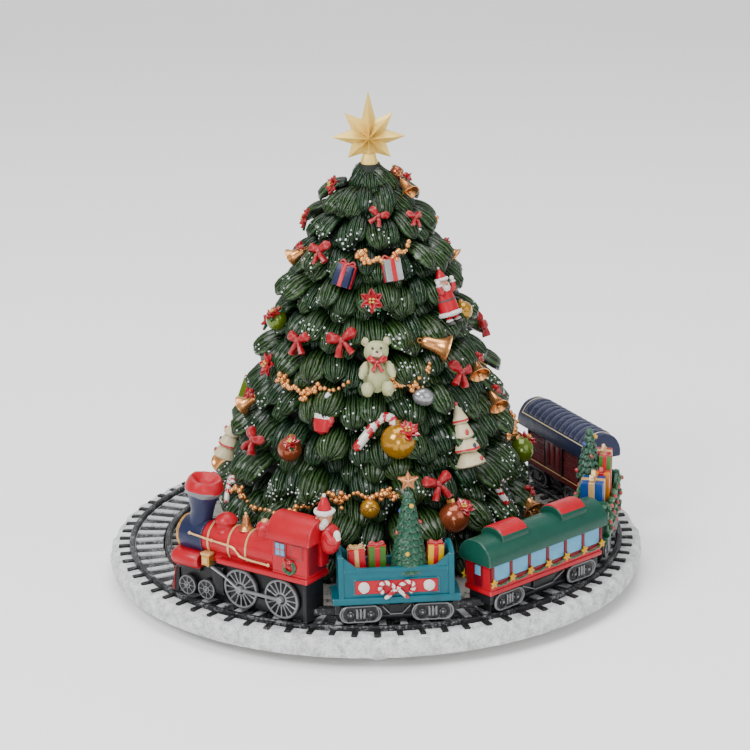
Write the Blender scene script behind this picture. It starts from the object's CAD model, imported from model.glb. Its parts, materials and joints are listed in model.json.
"""Looks of a wind-up tree ornament with a toy train that runs round it.

Every size is in millimetres while a piece is being shaped. Its mesh is written in metres when
it is finished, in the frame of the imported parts: the middle of the base on the table is the
origin, up is +Z and the front is -Y.
"""

from __future__ import annotations

import json
import logging
import math
from dataclasses import dataclass, field
from enum import Enum
from typing import Callable, Iterable, Sequence

import bmesh
import bpy
import numpy as np
from mathutils import Matrix, Vector, noise

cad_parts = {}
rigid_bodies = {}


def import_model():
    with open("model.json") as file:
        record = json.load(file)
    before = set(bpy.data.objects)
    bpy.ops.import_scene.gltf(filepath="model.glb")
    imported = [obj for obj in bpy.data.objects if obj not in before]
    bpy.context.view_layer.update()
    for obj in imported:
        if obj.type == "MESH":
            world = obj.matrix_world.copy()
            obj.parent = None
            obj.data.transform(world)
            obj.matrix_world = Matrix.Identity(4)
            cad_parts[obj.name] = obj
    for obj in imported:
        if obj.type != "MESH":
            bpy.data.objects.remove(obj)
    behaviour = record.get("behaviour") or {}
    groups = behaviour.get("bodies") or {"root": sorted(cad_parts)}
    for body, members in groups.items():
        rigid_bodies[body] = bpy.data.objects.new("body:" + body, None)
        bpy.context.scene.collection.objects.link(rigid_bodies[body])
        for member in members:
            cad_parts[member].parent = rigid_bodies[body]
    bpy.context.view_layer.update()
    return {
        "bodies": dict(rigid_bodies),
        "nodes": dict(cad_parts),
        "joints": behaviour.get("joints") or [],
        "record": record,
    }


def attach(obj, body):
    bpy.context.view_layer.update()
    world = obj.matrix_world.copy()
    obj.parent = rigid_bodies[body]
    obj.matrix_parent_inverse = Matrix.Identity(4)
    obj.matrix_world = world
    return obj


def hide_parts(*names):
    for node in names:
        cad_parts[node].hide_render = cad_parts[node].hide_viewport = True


LOG = logging.getLogger("ornament")
MM = 0.001
Colour = tuple[float, float, float]
Point = Sequence[float]


class Paint(Enum):
    """Enamels laid on the casting: linear red, green and blue, and how metallic each one is."""

    RED = (0.36, 0.0035, 0.012, 0.0)
    DEEP_RED = (0.13, 0.002, 0.007, 0.0)
    RIBBON_RED = (0.27, 0.003, 0.008, 0.0)
    CREAM = (0.5, 0.43, 0.27, 0.0)
    WHITE = (0.56, 0.55, 0.52, 0.0)
    SKIN = (0.44, 0.19, 0.11, 0.0)
    NAVY = (0.01, 0.015, 0.05, 0.0)
    TEAL = (0.0015, 0.085, 0.115, 0.0)
    COACH_GREEN = (0.004, 0.052, 0.034, 0.0)
    LEAF = (0.006, 0.075, 0.022, 0.0)
    FIR = (0.004, 0.055, 0.026, 0.0)
    PARCEL_GREEN = (0.03, 0.115, 0.01, 0.0)
    PANE = (0.085, 0.29, 0.45, 0.0)
    BLUE = (0.003, 0.035, 0.165, 0.0)
    YELLOW = (0.52, 0.29, 0.004, 0.0)
    ORANGE = (0.48, 0.14, 0.004, 0.0)
    BLACK = (0.005, 0.005, 0.006, 0.0)
    IRON = (0.013, 0.0135, 0.016, 0.2)
    PEWTER = (0.155, 0.16, 0.168, 0.35)
    GOLD = (0.46, 0.235, 0.045, 0.75)
    PALE_GOLD = (0.56, 0.34, 0.135, 0.35)
    COPPER = (0.42, 0.165, 0.06, 0.75)
    SILVER = (0.28, 0.29, 0.3, 0.6)
    GLASS_GOLD = (0.36, 0.175, 0.008, 0.45)
    GLASS_GREEN = (0.085, 0.135, 0.005, 0.35)
    GLASS_COPPER = (0.26, 0.058, 0.02, 0.5)
    BEAR = (0.36, 0.37, 0.19, 0.0)


# ---- shapes --------------------------------------------------------------------------------------
class Shape:
    """Points and painted faces of a piece while it is being made, in millimetres."""

    def __init__(self) -> None:
        """Start with no points and no faces."""
        self.points: list[tuple[float, float, float]] = []
        self.faces: list[tuple[int, ...]] = []
        self.paints: list[Paint] = []
        self.marks: list[tuple[float, float, float]] = []

    def add(self, points: Iterable[Point], faces: Iterable[Sequence[int]], paint: Paint | Sequence[Paint],
            marks: Iterable[Point] | None = None) -> Shape:
        """Add points and the faces between them.

        Args:
            points: places of the new points.
            faces: corners of each face, counted from the first new point.
            paint: one paint, or one for each face.
            marks: three numbers carried by each point, such as its place across a bough.

        Returns:
            This shape.
        """
        start = len(self.points)
        self.points += [tuple(map(float, p)) for p in points]
        made = [tuple(start + i for i in f) for f in faces]
        self.faces += made
        self.paints += [paint] * len(made) if isinstance(paint, Paint) else list(paint)
        fresh = len(self.points) - start
        self.marks += [tuple(map(float, m))
                       for m in marks] if marks is not None else [(0.0, 0.0, 0.0)] * fresh
        return self

    def take(self, other: Shape, place: Matrix | None = None) -> Shape:
        """Add a copy of another shape, put in its place."""
        points = other.points if place is None else [place @ Vector(p) for p in other.points]
        return self.add(points, other.faces, other.paints, other.marks)

    def moved(self, place: Matrix) -> Shape:
        """Return a copy of this shape put in another place."""
        return Shape().take(self, place)

    def mirrored(self) -> Shape:
        """Return this shape with its reflection across the XZ plane, both facing outwards."""
        both = Shape().take(self)
        points = [(x, -y, z) for x, y, z in self.points]
        return both.add(points, [tuple(reversed(f)) for f in self.faces], self.paints, self.marks)

    def lumped(self, depth: float, scale: float, seed: float = 0.0) -> Shape:
        """Move each point by smooth noise, as hand-carved work has.

        Args:
            depth: furthest that a point moves.
            scale: size of a lump.
            seed: picks another run of the noise.

        Returns:
            This shape.
        """
        offset = Vector((seed, seed * 1.7, seed * 0.3))
        self.points = [tuple(Vector(p) + depth * noise.noise_vector(Vector(p) / scale + offset))
                       for p in self.points]
        return self

    def mesh(self, name: str, smooth: float = 40.0) -> bpy.types.Mesh:
        """Write the mesh in metres, with its paint, marks and relief as attributes.

        Args:
            name: name of the mesh.
            smooth: angle in degrees past which an edge stays sharp.

        Returns:
            The new mesh.
        """
        mesh = bpy.data.meshes.new(name)
        mesh.from_pydata([tuple(c * MM for c in p) for p in self.points], [], self.faces)
        working = bmesh.new()
        working.from_mesh(mesh)
        bmesh.ops.recalc_face_normals(working, faces=working.faces)
        working.to_mesh(mesh)
        working.free()
        mesh.update()
        counts = [len(f) for f in self.faces]
        colours = np.repeat(np.array([p.value for p in self.paints], np.float32), counts, axis=0)
        mesh.attributes.new("paint", "FLOAT_COLOR", "CORNER").data.foreach_set("color", colours.ravel())
        marks = np.array(self.marks, np.float32)
        mesh.attributes.new("marks", "FLOAT_VECTOR", "POINT").data.foreach_set("vector", marks.ravel())
        mesh.attributes.new("relief", "FLOAT", "CORNER").data.foreach_set("value", relief_of(mesh))
        mesh.polygons.foreach_set("use_smooth", [True] * len(mesh.polygons))
        mesh.set_sharp_from_angle(angle=math.radians(smooth))
        return mesh


def relief_of(mesh: bpy.types.Mesh) -> np.ndarray:
    """Say how far each corner of a mesh stands out: 1 on a ridge, 0 in a valley, 0.5 on a flat."""
    count = len(mesh.vertices)
    place = np.zeros(count * 3, np.float32)
    mesh.vertices.foreach_get("co", place)
    place = place.reshape(-1, 3)
    normal = np.zeros(count * 3, np.float32)
    mesh.vertex_normals.foreach_get("vector", normal)
    normal = normal.reshape(-1, 3)
    ends = np.zeros(len(mesh.edges) * 2, np.int32)
    mesh.edges.foreach_get("vertices", ends)
    a, b = ends.reshape(-1, 2).T
    run = place[b] - place[a]
    run /= np.maximum(np.linalg.norm(run, axis=1, keepdims=True), 1e-9)
    total = np.zeros(count)
    shares = np.zeros(count)
    np.add.at(total, a, -(run * normal[a]).sum(1))
    np.add.at(total, b, (run * normal[b]).sum(1))
    np.add.at(shares, a, 1)
    np.add.at(shares, b, 1)
    bend = total / np.maximum(shares, 1)
    corner = np.zeros(len(mesh.loops), np.int32)
    mesh.loops.foreach_get("vertex_index", corner)
    area = np.zeros(len(mesh.polygons), np.float32)
    mesh.polygons.foreach_get("area", area)
    sides = np.zeros(len(mesh.polygons), np.int32)
    mesh.polygons.foreach_get("loop_total", sides)
    small = np.exp(-np.repeat(area, sides) / (1.5 * MM * MM))
    return (0.5 + np.clip(bend[corner] * 1.3, -0.5, 0.5) * small).astype(np.float32)


def at(x: float = 0.0, y: float = 0.0, z: float = 0.0, rx: float = 0.0, ry: float = 0.0,
       rz: float = 0.0) -> Matrix:
    """Return a place: turned about X, then Y, then Z in degrees, and then moved."""
    turn = Matrix.Rotation(math.radians(rz), 4, "Z") @ Matrix.Rotation(math.radians(ry), 4, "Y")
    return Matrix.Translation((x, y, z)) @ turn @ Matrix.Rotation(math.radians(rx), 4, "X")


def bridge(rows: int, columns: int, wrap: bool) -> list[tuple[int, ...]]:
    """Return quads between rows of points, each row closed on itself when wrap is true."""
    faces = []
    for i in range(rows - 1):
        for j in range(columns if wrap else columns - 1):
            k = (j + 1) % columns
            faces.append((i * columns + j, i * columns + k, (i + 1) * columns + k, (i + 1) * columns + j))
    return faces


def rings(loops: Sequence[Sequence[Point]], paint: Paint | Callable[[int, int], Paint],
          capped: bool = True, marks: Sequence[Sequence[Point]] | None = None) -> Shape:
    """Return a skin over loops of points that each have the same count.

    Args:
        loops: the loops in order, each counter-clockwise as seen from the last one.
        paint: one paint, or a function of the row and the column that gives it.
        capped: whether the first and the last loop are closed.
        marks: three numbers for each point.

    Returns:
        The closed shape.
    """
    columns = len(loops[0])
    points = [p for loop in loops for p in loop]
    faces = bridge(len(loops), columns, True)
    paints = [paint] * len(faces) if isinstance(paint, Paint) else \
        [paint(i // columns, i % columns) for i in range(len(faces))]
    if capped:
        last = len(points) - columns
        faces.append(tuple(reversed(range(columns))))
        faces.append(tuple(range(last, last + columns)))
        paints += [paints[0], paints[-1]]
    flat = [m for loop in marks for m in loop] if marks is not None else None
    return Shape().add(points, faces, paints, flat)


def lathe(profile: Sequence[tuple[float, float]], paint: Paint | Sequence[Paint], sides: int = 24,
          flute: Callable[[float], float] | None = None) -> Shape:
    """Turn a profile round Z.

    Args:
        profile: radius and height of each ring, from the bottom up, or closed by a zero radius.
        paint: one paint, or one for each band.
        sides: faces round the axis.
        flute: share of the radius by angle in radians, for fluted work.

    Returns:
        The turned shape, its ends closed.
    """
    angles = [2 * math.pi * i / sides for i in range(sides)]
    loops = []
    for r, z in profile:
        r = max(r, 0.002)
        share = [flute(a) if flute else 1.0 for a in angles]
        loops.append([(r * s * math.cos(a), r * s * math.sin(a), z) for a, s in zip(angles, share)])
    pick = paint if isinstance(paint, Paint) else (lambda i, j: paint[min(i, len(paint) - 1)])
    return rings(loops, pick)


def hoop(profile: Sequence[tuple[float, float]], paint: Paint, sides: int = 96,
         rough: Callable[[float, float, float], tuple[float, float]] | None = None) -> Shape:
    """Turn a closed profile round Z into a ring.

    Args:
        profile: radius and height of the closed outline, counter-clockwise seen from -Y.
        paint: paint of the ring.
        sides: faces round the axis.
        rough: push of a point outwards and upwards by its angle, radius and height.

    Returns:
        The ring.
    """
    points = []
    for i in range(sides):
        a = 2 * math.pi * i / sides
        for r, z in profile:
            out, up = rough(a, r, z) if rough else (0.0, 0.0)
            points.append(((r + out) * math.cos(a), (r + out) * math.sin(a), z + up))
    n = len(profile)
    faces = [(i * n + j, ((i + 1) % sides) * n + j, ((i + 1) % sides) * n + (j + 1) % n, i * n + (j + 1) % n)
             for i in range(sides) for j in range(n)]
    return Shape().add(points, faces, paint)


def orb(rx: float, ry: float, rz: float, paint: Paint, sides: int = 16, bands: int = 10) -> Shape:
    """Return a closed ellipsoid at the origin."""
    profile = [(math.sin(math.pi * i / bands), -math.cos(math.pi * i / bands) * rz) for i in range(bands + 1)]
    ball = lathe(profile, paint, sides)
    ball.points = [(x * rx, y * ry, z) for x, y, z in ball.points]
    return ball


def smooth_path(knots: Sequence[Point], steps: int) -> list[Vector]:
    """Return points along a smooth curve through its knots."""
    known = [Vector(k) for k in knots]
    ends = [known[0] * 2 - known[1]] + known + [known[-1] * 2 - known[-2]]
    line = []
    for i in range(1, len(ends) - 2):
        p0, p1, p2, p3 = ends[i - 1:i + 3]
        for j in range(steps):
            t = j / steps
            line.append(0.5 * (2 * p1 + (p2 - p0) * t + (2 * p0 - 5 * p1 + 4 * p2 - p3) * t * t
                               + (3 * p1 - p0 - 3 * p2 + p3) * t ** 3))
    return line + [known[-1]]


def tube(path: Sequence[Point], radius: float | Sequence[float], paint: Paint | Callable[[int, int], Paint],
         sides: int = 8, flat: float = 1.0, closed: bool = False) -> Shape:
    """Sweep a round or flattened section along a path.

    Args:
        path: points that the middle follows.
        radius: radius, or one for each point.
        paint: one paint, or a function of the step and the side.
        sides: faces round the section.
        flat: thickness of the section as a share of its width.
        closed: whether the end meets the start.

    Returns:
        The swept shape, closed at its ends.
    """
    line = [Vector(p) for p in path]
    n = len(line)
    radii = [radius] * n if isinstance(radius, (int, float)) else list(radius)
    side = None
    loops = []
    for i, p in enumerate(line):
        ahead = line[(i + 1) % n] if closed or i + 1 < n else p
        back = line[i - 1] if closed or i > 0 else p
        along = (ahead - back).normalized()
        if side is None:
            side = along.cross(Vector((0, 1, 0)) if abs(along.y) < 0.9 else Vector((1, 0, 0))).normalized()
        side = (side - along * side.dot(along)).normalized()
        lift = along.cross(side)
        loops.append([p + radii[i] * (side * flat * math.cos(a) + lift * math.sin(a))
                      for a in (2 * math.pi * k / sides for k in range(sides))])
    if closed:
        loops.append(loops[0])
        skin = rings(loops, paint, capped=False)
        first = sides * (len(loops) - 1)
        skin.faces = [tuple(i - first if i >= first else i for i in f) for f in skin.faces]
        skin.points = skin.points[:first]
        skin.marks = skin.marks[:first]
        return skin
    return rings(loops, paint)


def softened(bm: bmesh.types.BMesh, rounding: float, segments: int) -> None:
    """Round the sharp edges of a closed mesh."""
    edges = [e for e in bm.edges if e.is_manifold and e.calc_face_angle(0.0) > 0.45]
    if rounding > 0 and edges:
        bmesh.ops.bevel(bm, geom=edges, offset=rounding, offset_type="OFFSET", segments=segments, profile=0.6,
                        affect="EDGES", clamp_overlap=True)


def emptied(bm: bmesh.types.BMesh, paint: Paint) -> Shape:
    """Turn a working mesh into a painted shape, its faces outwards."""
    bmesh.ops.recalc_face_normals(bm, faces=bm.faces)
    bm.verts.index_update()
    made = Shape().add([tuple(v.co) for v in bm.verts], [tuple(v.index for v in f.verts) for f in bm.faces],
                       paint)
    bm.free()
    return made


def plate(outline: Sequence[tuple[float, float]], y0: float, y1: float, paint: Paint, rounding: float = 0.25,
          segments: int = 2) -> Shape:
    """Return a plate whose outline is in X and Z and whose thickness runs from y0 to y1."""
    bm = bmesh.new()
    face = bm.faces.new([bm.verts.new((x, y0, z)) for x, z in outline])
    pushed = bmesh.ops.extrude_face_region(bm, geom=[face])["geom"]
    bmesh.ops.translate(bm, vec=(0, y1 - y0, 0),
                        verts=[v for v in pushed if isinstance(v, bmesh.types.BMVert)])
    bmesh.ops.recalc_face_normals(bm, faces=bm.faces)
    softened(bm, rounding, segments)
    return emptied(bm, paint)


def brick(x: tuple[float, float], y: tuple[float, float], z: tuple[float, float], paint: Paint,
          rounding: float = 0.3, segments: int = 2) -> Shape:
    """Return a block between limits on each axis, with rounded edges."""
    return plate([(x[0], z[0]), (x[1], z[0]), (x[1], z[1]), (x[0], z[1])], y[0], y[1], paint, rounding,
                 segments)


def girder(outline: Sequence[tuple[float, float]], x0: float, x1: float, paint: Paint, rounding: float = 0.3,
           segments: int = 2) -> Shape:
    """Return a bar whose outline is in Y and Z and whose length runs from x0 to x1."""
    return turned(plate(outline, -x1, -x0, paint, rounding, segments))


def turned(shape: Shape) -> Shape:
    """Turn a shape a quarter round Z, so that its Y runs along -X and its X along Y."""
    return shape.moved(Matrix.Rotation(math.pi / 2, 4, "Z"))


def arch_outline(half: float, height: float, steps: int = 14,
                 skirt: float = 0.0) -> list[tuple[float, float]]:
    """Return the upper half of an ellipse standing on a straight skirt, as an outline."""
    rim = [(half * math.cos(math.pi * i / steps), skirt + (height - skirt) * math.sin(math.pi * i / steps))
           for i in range(steps + 1)]
    return [(-half, 0.0)] * (skirt > 0) + [(half, 0.0)] * (skirt > 0) + rim


# ---- shader graphs -------------------------------------------------------------------------------
class Value:
    """An output of a shader graph that takes part in Python arithmetic."""

    def __init__(self, graph: Graph, socket: bpy.types.NodeSocket) -> None:
        """Keep the socket and the graph that it belongs to."""
        self.graph = graph
        self.socket = socket

    def math(self, operation: str, *others: Value | float, clamp: bool = False) -> Value:
        """Return the result of a Math node on this value and others."""
        node = self.graph.node("ShaderNodeMath", {"operation": operation, "use_clamp": clamp},
                               {i: v for i, v in enumerate((self, *others))})
        return Value(self.graph, node.outputs[0])

    def __add__(self, other: Value | float) -> Value:
        """Add."""
        return self.math("ADD", other)

    __radd__ = __add__

    def __mul__(self, other: Value | float) -> Value:
        """Multiply."""
        return self.math("MULTIPLY", other)

    __rmul__ = __mul__

    def __sub__(self, other: Value | float) -> Value:
        """Subtract."""
        return self.math("SUBTRACT", other)

    def __rsub__(self, other: float) -> Value:
        """Subtract this from a number."""
        return (self * -1.0) + other

    def __pow__(self, other: float) -> Value:
        """Raise to a power."""
        return self.math("POWER", other)

    def within(self, low: float, high: float) -> Value:
        """Return 0 below low and 1 above high, smooth between them."""
        node = self.graph.node("ShaderNodeMapRange", {"interpolation_type": "SMOOTHSTEP"},
                               {"Value": self, "From Min": low, "From Max": high})
        return Value(self.graph, node.outputs["Result"])


class Graph:
    """A material's node tree, built node by node."""

    def __init__(self, name: str) -> None:
        """Make an empty material of that name."""
        self.material = bpy.data.materials.new(name)
        self.material.use_nodes = True
        self.tree = self.material.node_tree
        self.tree.nodes.clear()

    def node(self, kind: str, settings: dict[str, object] | None = None,
             inputs: dict[str | int, object] | None = None) -> bpy.types.Node:
        """Add a node.

        Args:
            kind: its type.
            settings: its properties, set first.
            inputs: values or links by socket name or number.

        Returns:
            The node.
        """
        made = self.tree.nodes.new(kind)
        for key, value in (settings or {}).items():
            setattr(made, key, value)
        for key, value in (inputs or {}).items():
            if isinstance(value, Value):
                self.tree.links.new(value.socket, made.inputs[key])
            elif isinstance(value, tuple) and len(value) == 3 and made.inputs[key].type == "RGBA":
                made.inputs[key].default_value = (*value, 1.0)
            else:
                made.inputs[key].default_value = value
        return made

    def place(self) -> Value:
        """Return the Object coordinates."""
        return Value(self, self.node("ShaderNodeTexCoord").outputs["Object"])

    def attribute(self, name: str, output: str = "Fac") -> Value:
        """Return an attribute that the piece carries."""
        return Value(self, self.node("ShaderNodeAttribute", {"attribute_name": name}).outputs[output])

    def parts(self, vector: Value) -> tuple[Value, Value, Value]:
        """Return the three numbers of a vector."""
        node = self.node("ShaderNodeSeparateXYZ", inputs={0: vector})
        return tuple(Value(self, node.outputs[i]) for i in range(3))

    def grain(self, size: float, detail: float = 4.0, rough: float = 0.55,
              stretch: Point = (1, 1, 1)) -> Value:
        """Return noise whose lumps are about that many millimetres across."""
        place = self.node("ShaderNodeMapping", inputs={"Vector": self.place(), "Scale": tuple(stretch)})
        node = self.node("ShaderNodeTexNoise", inputs={"Vector": Value(self, place.outputs[0]),
                                                       "Scale": 1.0 / (size * MM), "Detail": detail,
                                                       "Roughness": rough})
        return Value(self, node.outputs["Fac"])

    def mix(self, share: Value | float, a: Value | Colour, b: Value | Colour, how: str = "MIX") -> Value:
        """Return two colours mixed."""
        node = self.node("ShaderNodeMix", {"data_type": "RGBA", "blend_type": how},
                         {"Factor": share, 6: a, 7: b})
        return Value(self, node.outputs[2])

    def bump(self, height: Value, depth: float, under: Value | None = None) -> Value:
        """Return a normal raised by height times a depth in millimetres."""
        inputs: dict[str | int, object] = {"Height": height, "Distance": depth * MM, "Strength": 1.0}
        if under is not None:
            inputs["Normal"] = under
        return Value(self, self.node("ShaderNodeBump", inputs=inputs).outputs[0])

    def surface(self, inputs: dict[str | int, object]) -> bpy.types.Material:
        """Close the graph with a Principled shader and return the material."""
        shader = self.node("ShaderNodeBsdfPrincipled", inputs=inputs)
        self.node("ShaderNodeOutputMaterial", inputs={0: Value(self, shader.outputs[0])})
        return self.material


# ---- finishes ------------------------------------------------------------------------------------
@dataclass(frozen=True)
class Finish:
    """What every finish has: a name, and a material that is made once."""

    name: str

    def material(self) -> bpy.types.Material:
        """Return the material, made the first time that it is asked for."""
        return bpy.data.materials.get(self.name) or self.mixed(Graph(self.name))

    def mixed(self, graph: Graph) -> bpy.types.Material:
        """Build the material's graph."""
        raise NotImplementedError


@dataclass(frozen=True)
class Enamel(Finish):
    """Hand-brushed paint on cast resin, in the colours that the piece carries."""

    gloss: float = 0.34
    wash: float = 0.55
    brush: float = 0.05
    bright: float = 0.12
    shine: float = 0.22

    def mixed(self, graph: Graph) -> bpy.types.Material:
        """Build paint with a dark wash in its valleys, worn ridges and brush marks."""
        paint = graph.attribute("paint", "Color")
        metal = graph.attribute("paint", "Alpha")
        relief = graph.attribute("relief")
        blotch = graph.grain(5.0, 3.0)
        fine = graph.grain(0.7, 5.0, 0.65)
        low = (0.5 - relief + (blotch - 0.5) * 0.5).within(0.02, 0.34)
        high = (relief - 0.5 + (fine - 0.5) * 0.5).within(0.10, 0.42)
        washed = graph.mix(low * self.wash, paint, graph.mix(0.85, paint, (0.012, 0.008, 0.008)))
        tinted = graph.mix((blotch.within(0.35, 0.75)) * 0.22, washed,
                           graph.mix(0.5, washed, (0.03, 0.01, 0.01), "MULTIPLY"))
        raised = graph.mix(high * self.bright, tinted, graph.mix(0.6, paint, (0.9, 0.88, 0.84)))
        height = graph.bump(fine, self.brush, graph.bump(graph.grain(2.4, 2.0), self.brush * 2.2))
        return graph.surface({"Base Color": raised, "Metallic": metal,
                              "Roughness": self.gloss + (fine - 0.5) * 0.25 - metal * 0.06,
                              "Specular IOR Level": self.shine, "Coat Weight": self.shine * 0.35,
                              "Coat Roughness": 0.2, "Normal": height})


@dataclass(frozen=True)
class SnowCrust(Finish):
    """Rough white snow paste, greyer where dust and wash have settled."""

    light: Colour = (0.72, 0.73, 0.74)
    dark: Colour = (0.26, 0.265, 0.27)
    lumps: float = 1.1

    def mixed(self, graph: Graph) -> bpy.types.Material:
        """Build the crust."""
        lump = graph.grain(3.2, 5.0, 0.6)
        grit = graph.grain(0.7, 6.0, 0.7)
        grey = (lump * 0.5 + grit * 0.5).within(0.62, 0.36)
        specks = graph.grain(1.1, 2.0).within(0.70, 0.78)
        colour = graph.mix(grey * 0.8, self.light, self.dark)
        colour = graph.mix(specks * 0.35, colour, (0.25, 0.25, 0.25))
        normal = graph.bump(grit, self.lumps * 0.45, graph.bump(lump, self.lumps * 1.4))
        return graph.surface({"Base Color": colour, "Roughness": 0.62 + grit * 0.3, "Normal": normal,
                              "Subsurface Weight": 0.08, "Subsurface Scale": 0.002})


@dataclass(frozen=True)
class DustedPaint(Finish):
    """Dark paint dry-brushed with a lighter one, in radial streaks or in blotches."""

    under: Colour = (0.03, 0.03, 0.034)
    over: Colour = (0.45, 0.46, 0.47)
    cover: float = 0.5
    size: float = 1.2
    rough: float = 0.55
    metal: float = 0.0

    def mixed(self, graph: Graph) -> bpy.types.Material:
        """Build the two coats."""
        streak = graph.grain(self.size, 6.0, 0.7)
        patch = graph.grain(self.size * 6, 3.0)
        share = (streak * 0.65 + patch * 0.35).within(0.62 - 0.3 * self.cover, 0.74 - 0.3 * self.cover)
        colour = graph.mix(share, self.under, self.over)
        normal = graph.bump(streak, 0.22)
        return graph.surface({"Base Color": colour, "Specular IOR Level": 0.25,
                              "Roughness": self.rough + (streak - 0.5) * 0.3,
                              "Metallic": self.metal, "Normal": normal})


@dataclass(frozen=True)
class CarvedBough(Finish):
    """Glossy green of the carved boughs: dark grooves, pale ridges, a hue of its own for each bough."""

    deep: Colour = (0.0006, 0.0045, 0.0022)
    mid: Colour = (0.0045, 0.036, 0.012)
    pale: Colour = (0.10, 0.20, 0.085)
    grooves: float = 5.0

    def mixed(self, graph: Graph) -> bpy.types.Material:
        """Build grooves that run along each bough."""
        across, along, _ = graph.parts(graph.attribute("marks", "Vector"))
        hue = graph.attribute("hue")
        waver = (graph.grain(2.6, 2.0) - 0.5) * 0.16
        wave = ((across + waver) * (math.pi * self.grooves)).math("SINE").math("ABSOLUTE")
        fine = graph.grain(0.5, 4.0, 0.6)
        ridge = (wave + (fine - 0.5) * 0.35).within(0.12, 0.95)
        shade = (along * 0.9 + 0.08).within(0.0, 0.75)
        green = graph.mix(hue, self.mid, (0.022, 0.056, 0.006))
        colour = graph.mix(ridge * 0.9, self.deep, green)
        colour = graph.mix((1 - shade) * 0.88, colour, self.deep)
        dry = (wave + (fine - 0.5) * 0.8).within(0.90, 1.12) * graph.grain(6.0, 2.0).within(0.38,
                                                                                            0.62) * shade
        colour = graph.mix(dry * 0.75, colour, self.pale)
        normal = graph.bump(wave ** 0.7, 0.62, graph.bump(fine, 0.05))
        return graph.surface({"Base Color": colour, "Roughness": 0.30 + (fine - 0.5) * 0.2, "Normal": normal,
                              "Specular IOR Level": 0.3, "Coat Weight": 0.22, "Coat Roughness": 0.16})


@dataclass(frozen=True)
class Foil(Finish):
    """Metallic paint or bare metal with a darker wash in its hollows."""

    light: Colour = (0.74, 0.44, 0.12)
    dark: Colour = (0.16, 0.07, 0.012)
    shine: float = 0.3
    metal: float = 0.85
    size: float = 1.0

    def mixed(self, graph: Graph) -> bpy.types.Material:
        """Build the metal."""
        relief = graph.attribute("relief")
        cloud = graph.grain(self.size, 5.0, 0.65)
        worn = graph.grain(self.size * 5, 3.0)
        share = ((0.5 - relief) * 2.4 + (cloud - 0.5) * 0.9 + (worn - 0.5) * 0.6).within(0.02, 0.5)
        colour = graph.mix(share * 0.85, self.light, self.dark)
        return graph.surface({"Base Color": colour, "Metallic": self.metal,
                              "Roughness": self.shine + share * 0.22 + (cloud - 0.5) * 0.15,
                              "Normal": graph.bump(cloud, 0.06)})


@dataclass(frozen=True)
class Moulded(Finish):
    """Moulded plastic or rubber with a fine grain and scuffs."""

    colour: Colour = (0.6, 0.6, 0.58)
    rough: float = 0.45

    def mixed(self, graph: Graph) -> bpy.types.Material:
        """Build the plastic."""
        grit = graph.grain(0.4, 5.0, 0.6)
        scuff = graph.grain(6.0, 6.0, 0.7).within(0.55, 0.72)
        dull = tuple(c * 0.72 + 0.02 for c in self.colour)
        return graph.surface({"Base Color": graph.mix(scuff * 0.5, self.colour, dull),
                              "Roughness": self.rough + scuff * 0.15 + (grit - 0.5) * 0.12,
                              "Normal": graph.bump(grit, 0.03)})


ENAMEL = Enamel("brushed_enamel")
GLASSY = Enamel("glassy_enamel", gloss=0.16, wash=0.35, brush=0.02, bright=0.08, shine=0.5)
SNOW = SnowCrust("snow_crust")
SNOW_DOT = SnowCrust("snow_dots", (0.70, 0.71, 0.72), (0.55, 0.56, 0.58), 0.1)
GROUND = DustedPaint("dirty_ground", (0.035, 0.031, 0.028), (0.19, 0.18, 0.165), 0.75, 1.6, 0.75)
STRIP = DustedPaint("track_strip", (0.010, 0.010, 0.012), (0.22, 0.225, 0.23), 0.42, 0.8, 0.6)
RING_TIE = DustedPaint("dusted_ties", (0.055, 0.055, 0.058), (0.42, 0.43, 0.44), 0.88, 0.7, 0.6)
OUTER_TIE = DustedPaint("dark_ties", (0.006, 0.006, 0.006), (0.13, 0.13, 0.135), 0.26, 0.6, 0.5)
RAIL = DustedPaint("worn_rail", (0.010, 0.010, 0.012), (0.17, 0.175, 0.18), 0.40, 0.9, 0.42, 0.35)
BOUGH = CarvedBough("carved_boughs")
CORE = Moulded("shadowed_core", (0.0015, 0.006, 0.003), 0.7)
STAR_GOLD = Foil("star_gold", (0.42, 0.185, 0.010), (0.075, 0.022, 0.002), 0.36, 0.25, 1.4)
BEAD_COPPER = Foil("bead_copper", (0.60, 0.27, 0.09), (0.10, 0.035, 0.01), 0.26, 0.8, 1.6)
BELL_COPPER = Foil("bell_copper", (0.58, 0.26, 0.09), (0.08, 0.03, 0.01), 0.25, 0.85, 1.3)
BRASS = Foil("clock_brass", (0.70, 0.50, 0.20), (0.32, 0.20, 0.06), 0.26, 1.0, 0.5)
STEEL = Foil("spring_steel", (0.42, 0.43, 0.45), (0.20, 0.20, 0.22), 0.28, 1.0, 0.4)
COVER_PLASTIC = Moulded("cover_plastic", (0.62, 0.62, 0.60), 0.42)
GEAR_PLASTIC = Moulded("gear_plastic", (0.72, 0.70, 0.64), 0.36)
RUBBER = Moulded("clear_rubber", (0.66, 0.66, 0.65), 0.38)


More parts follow.
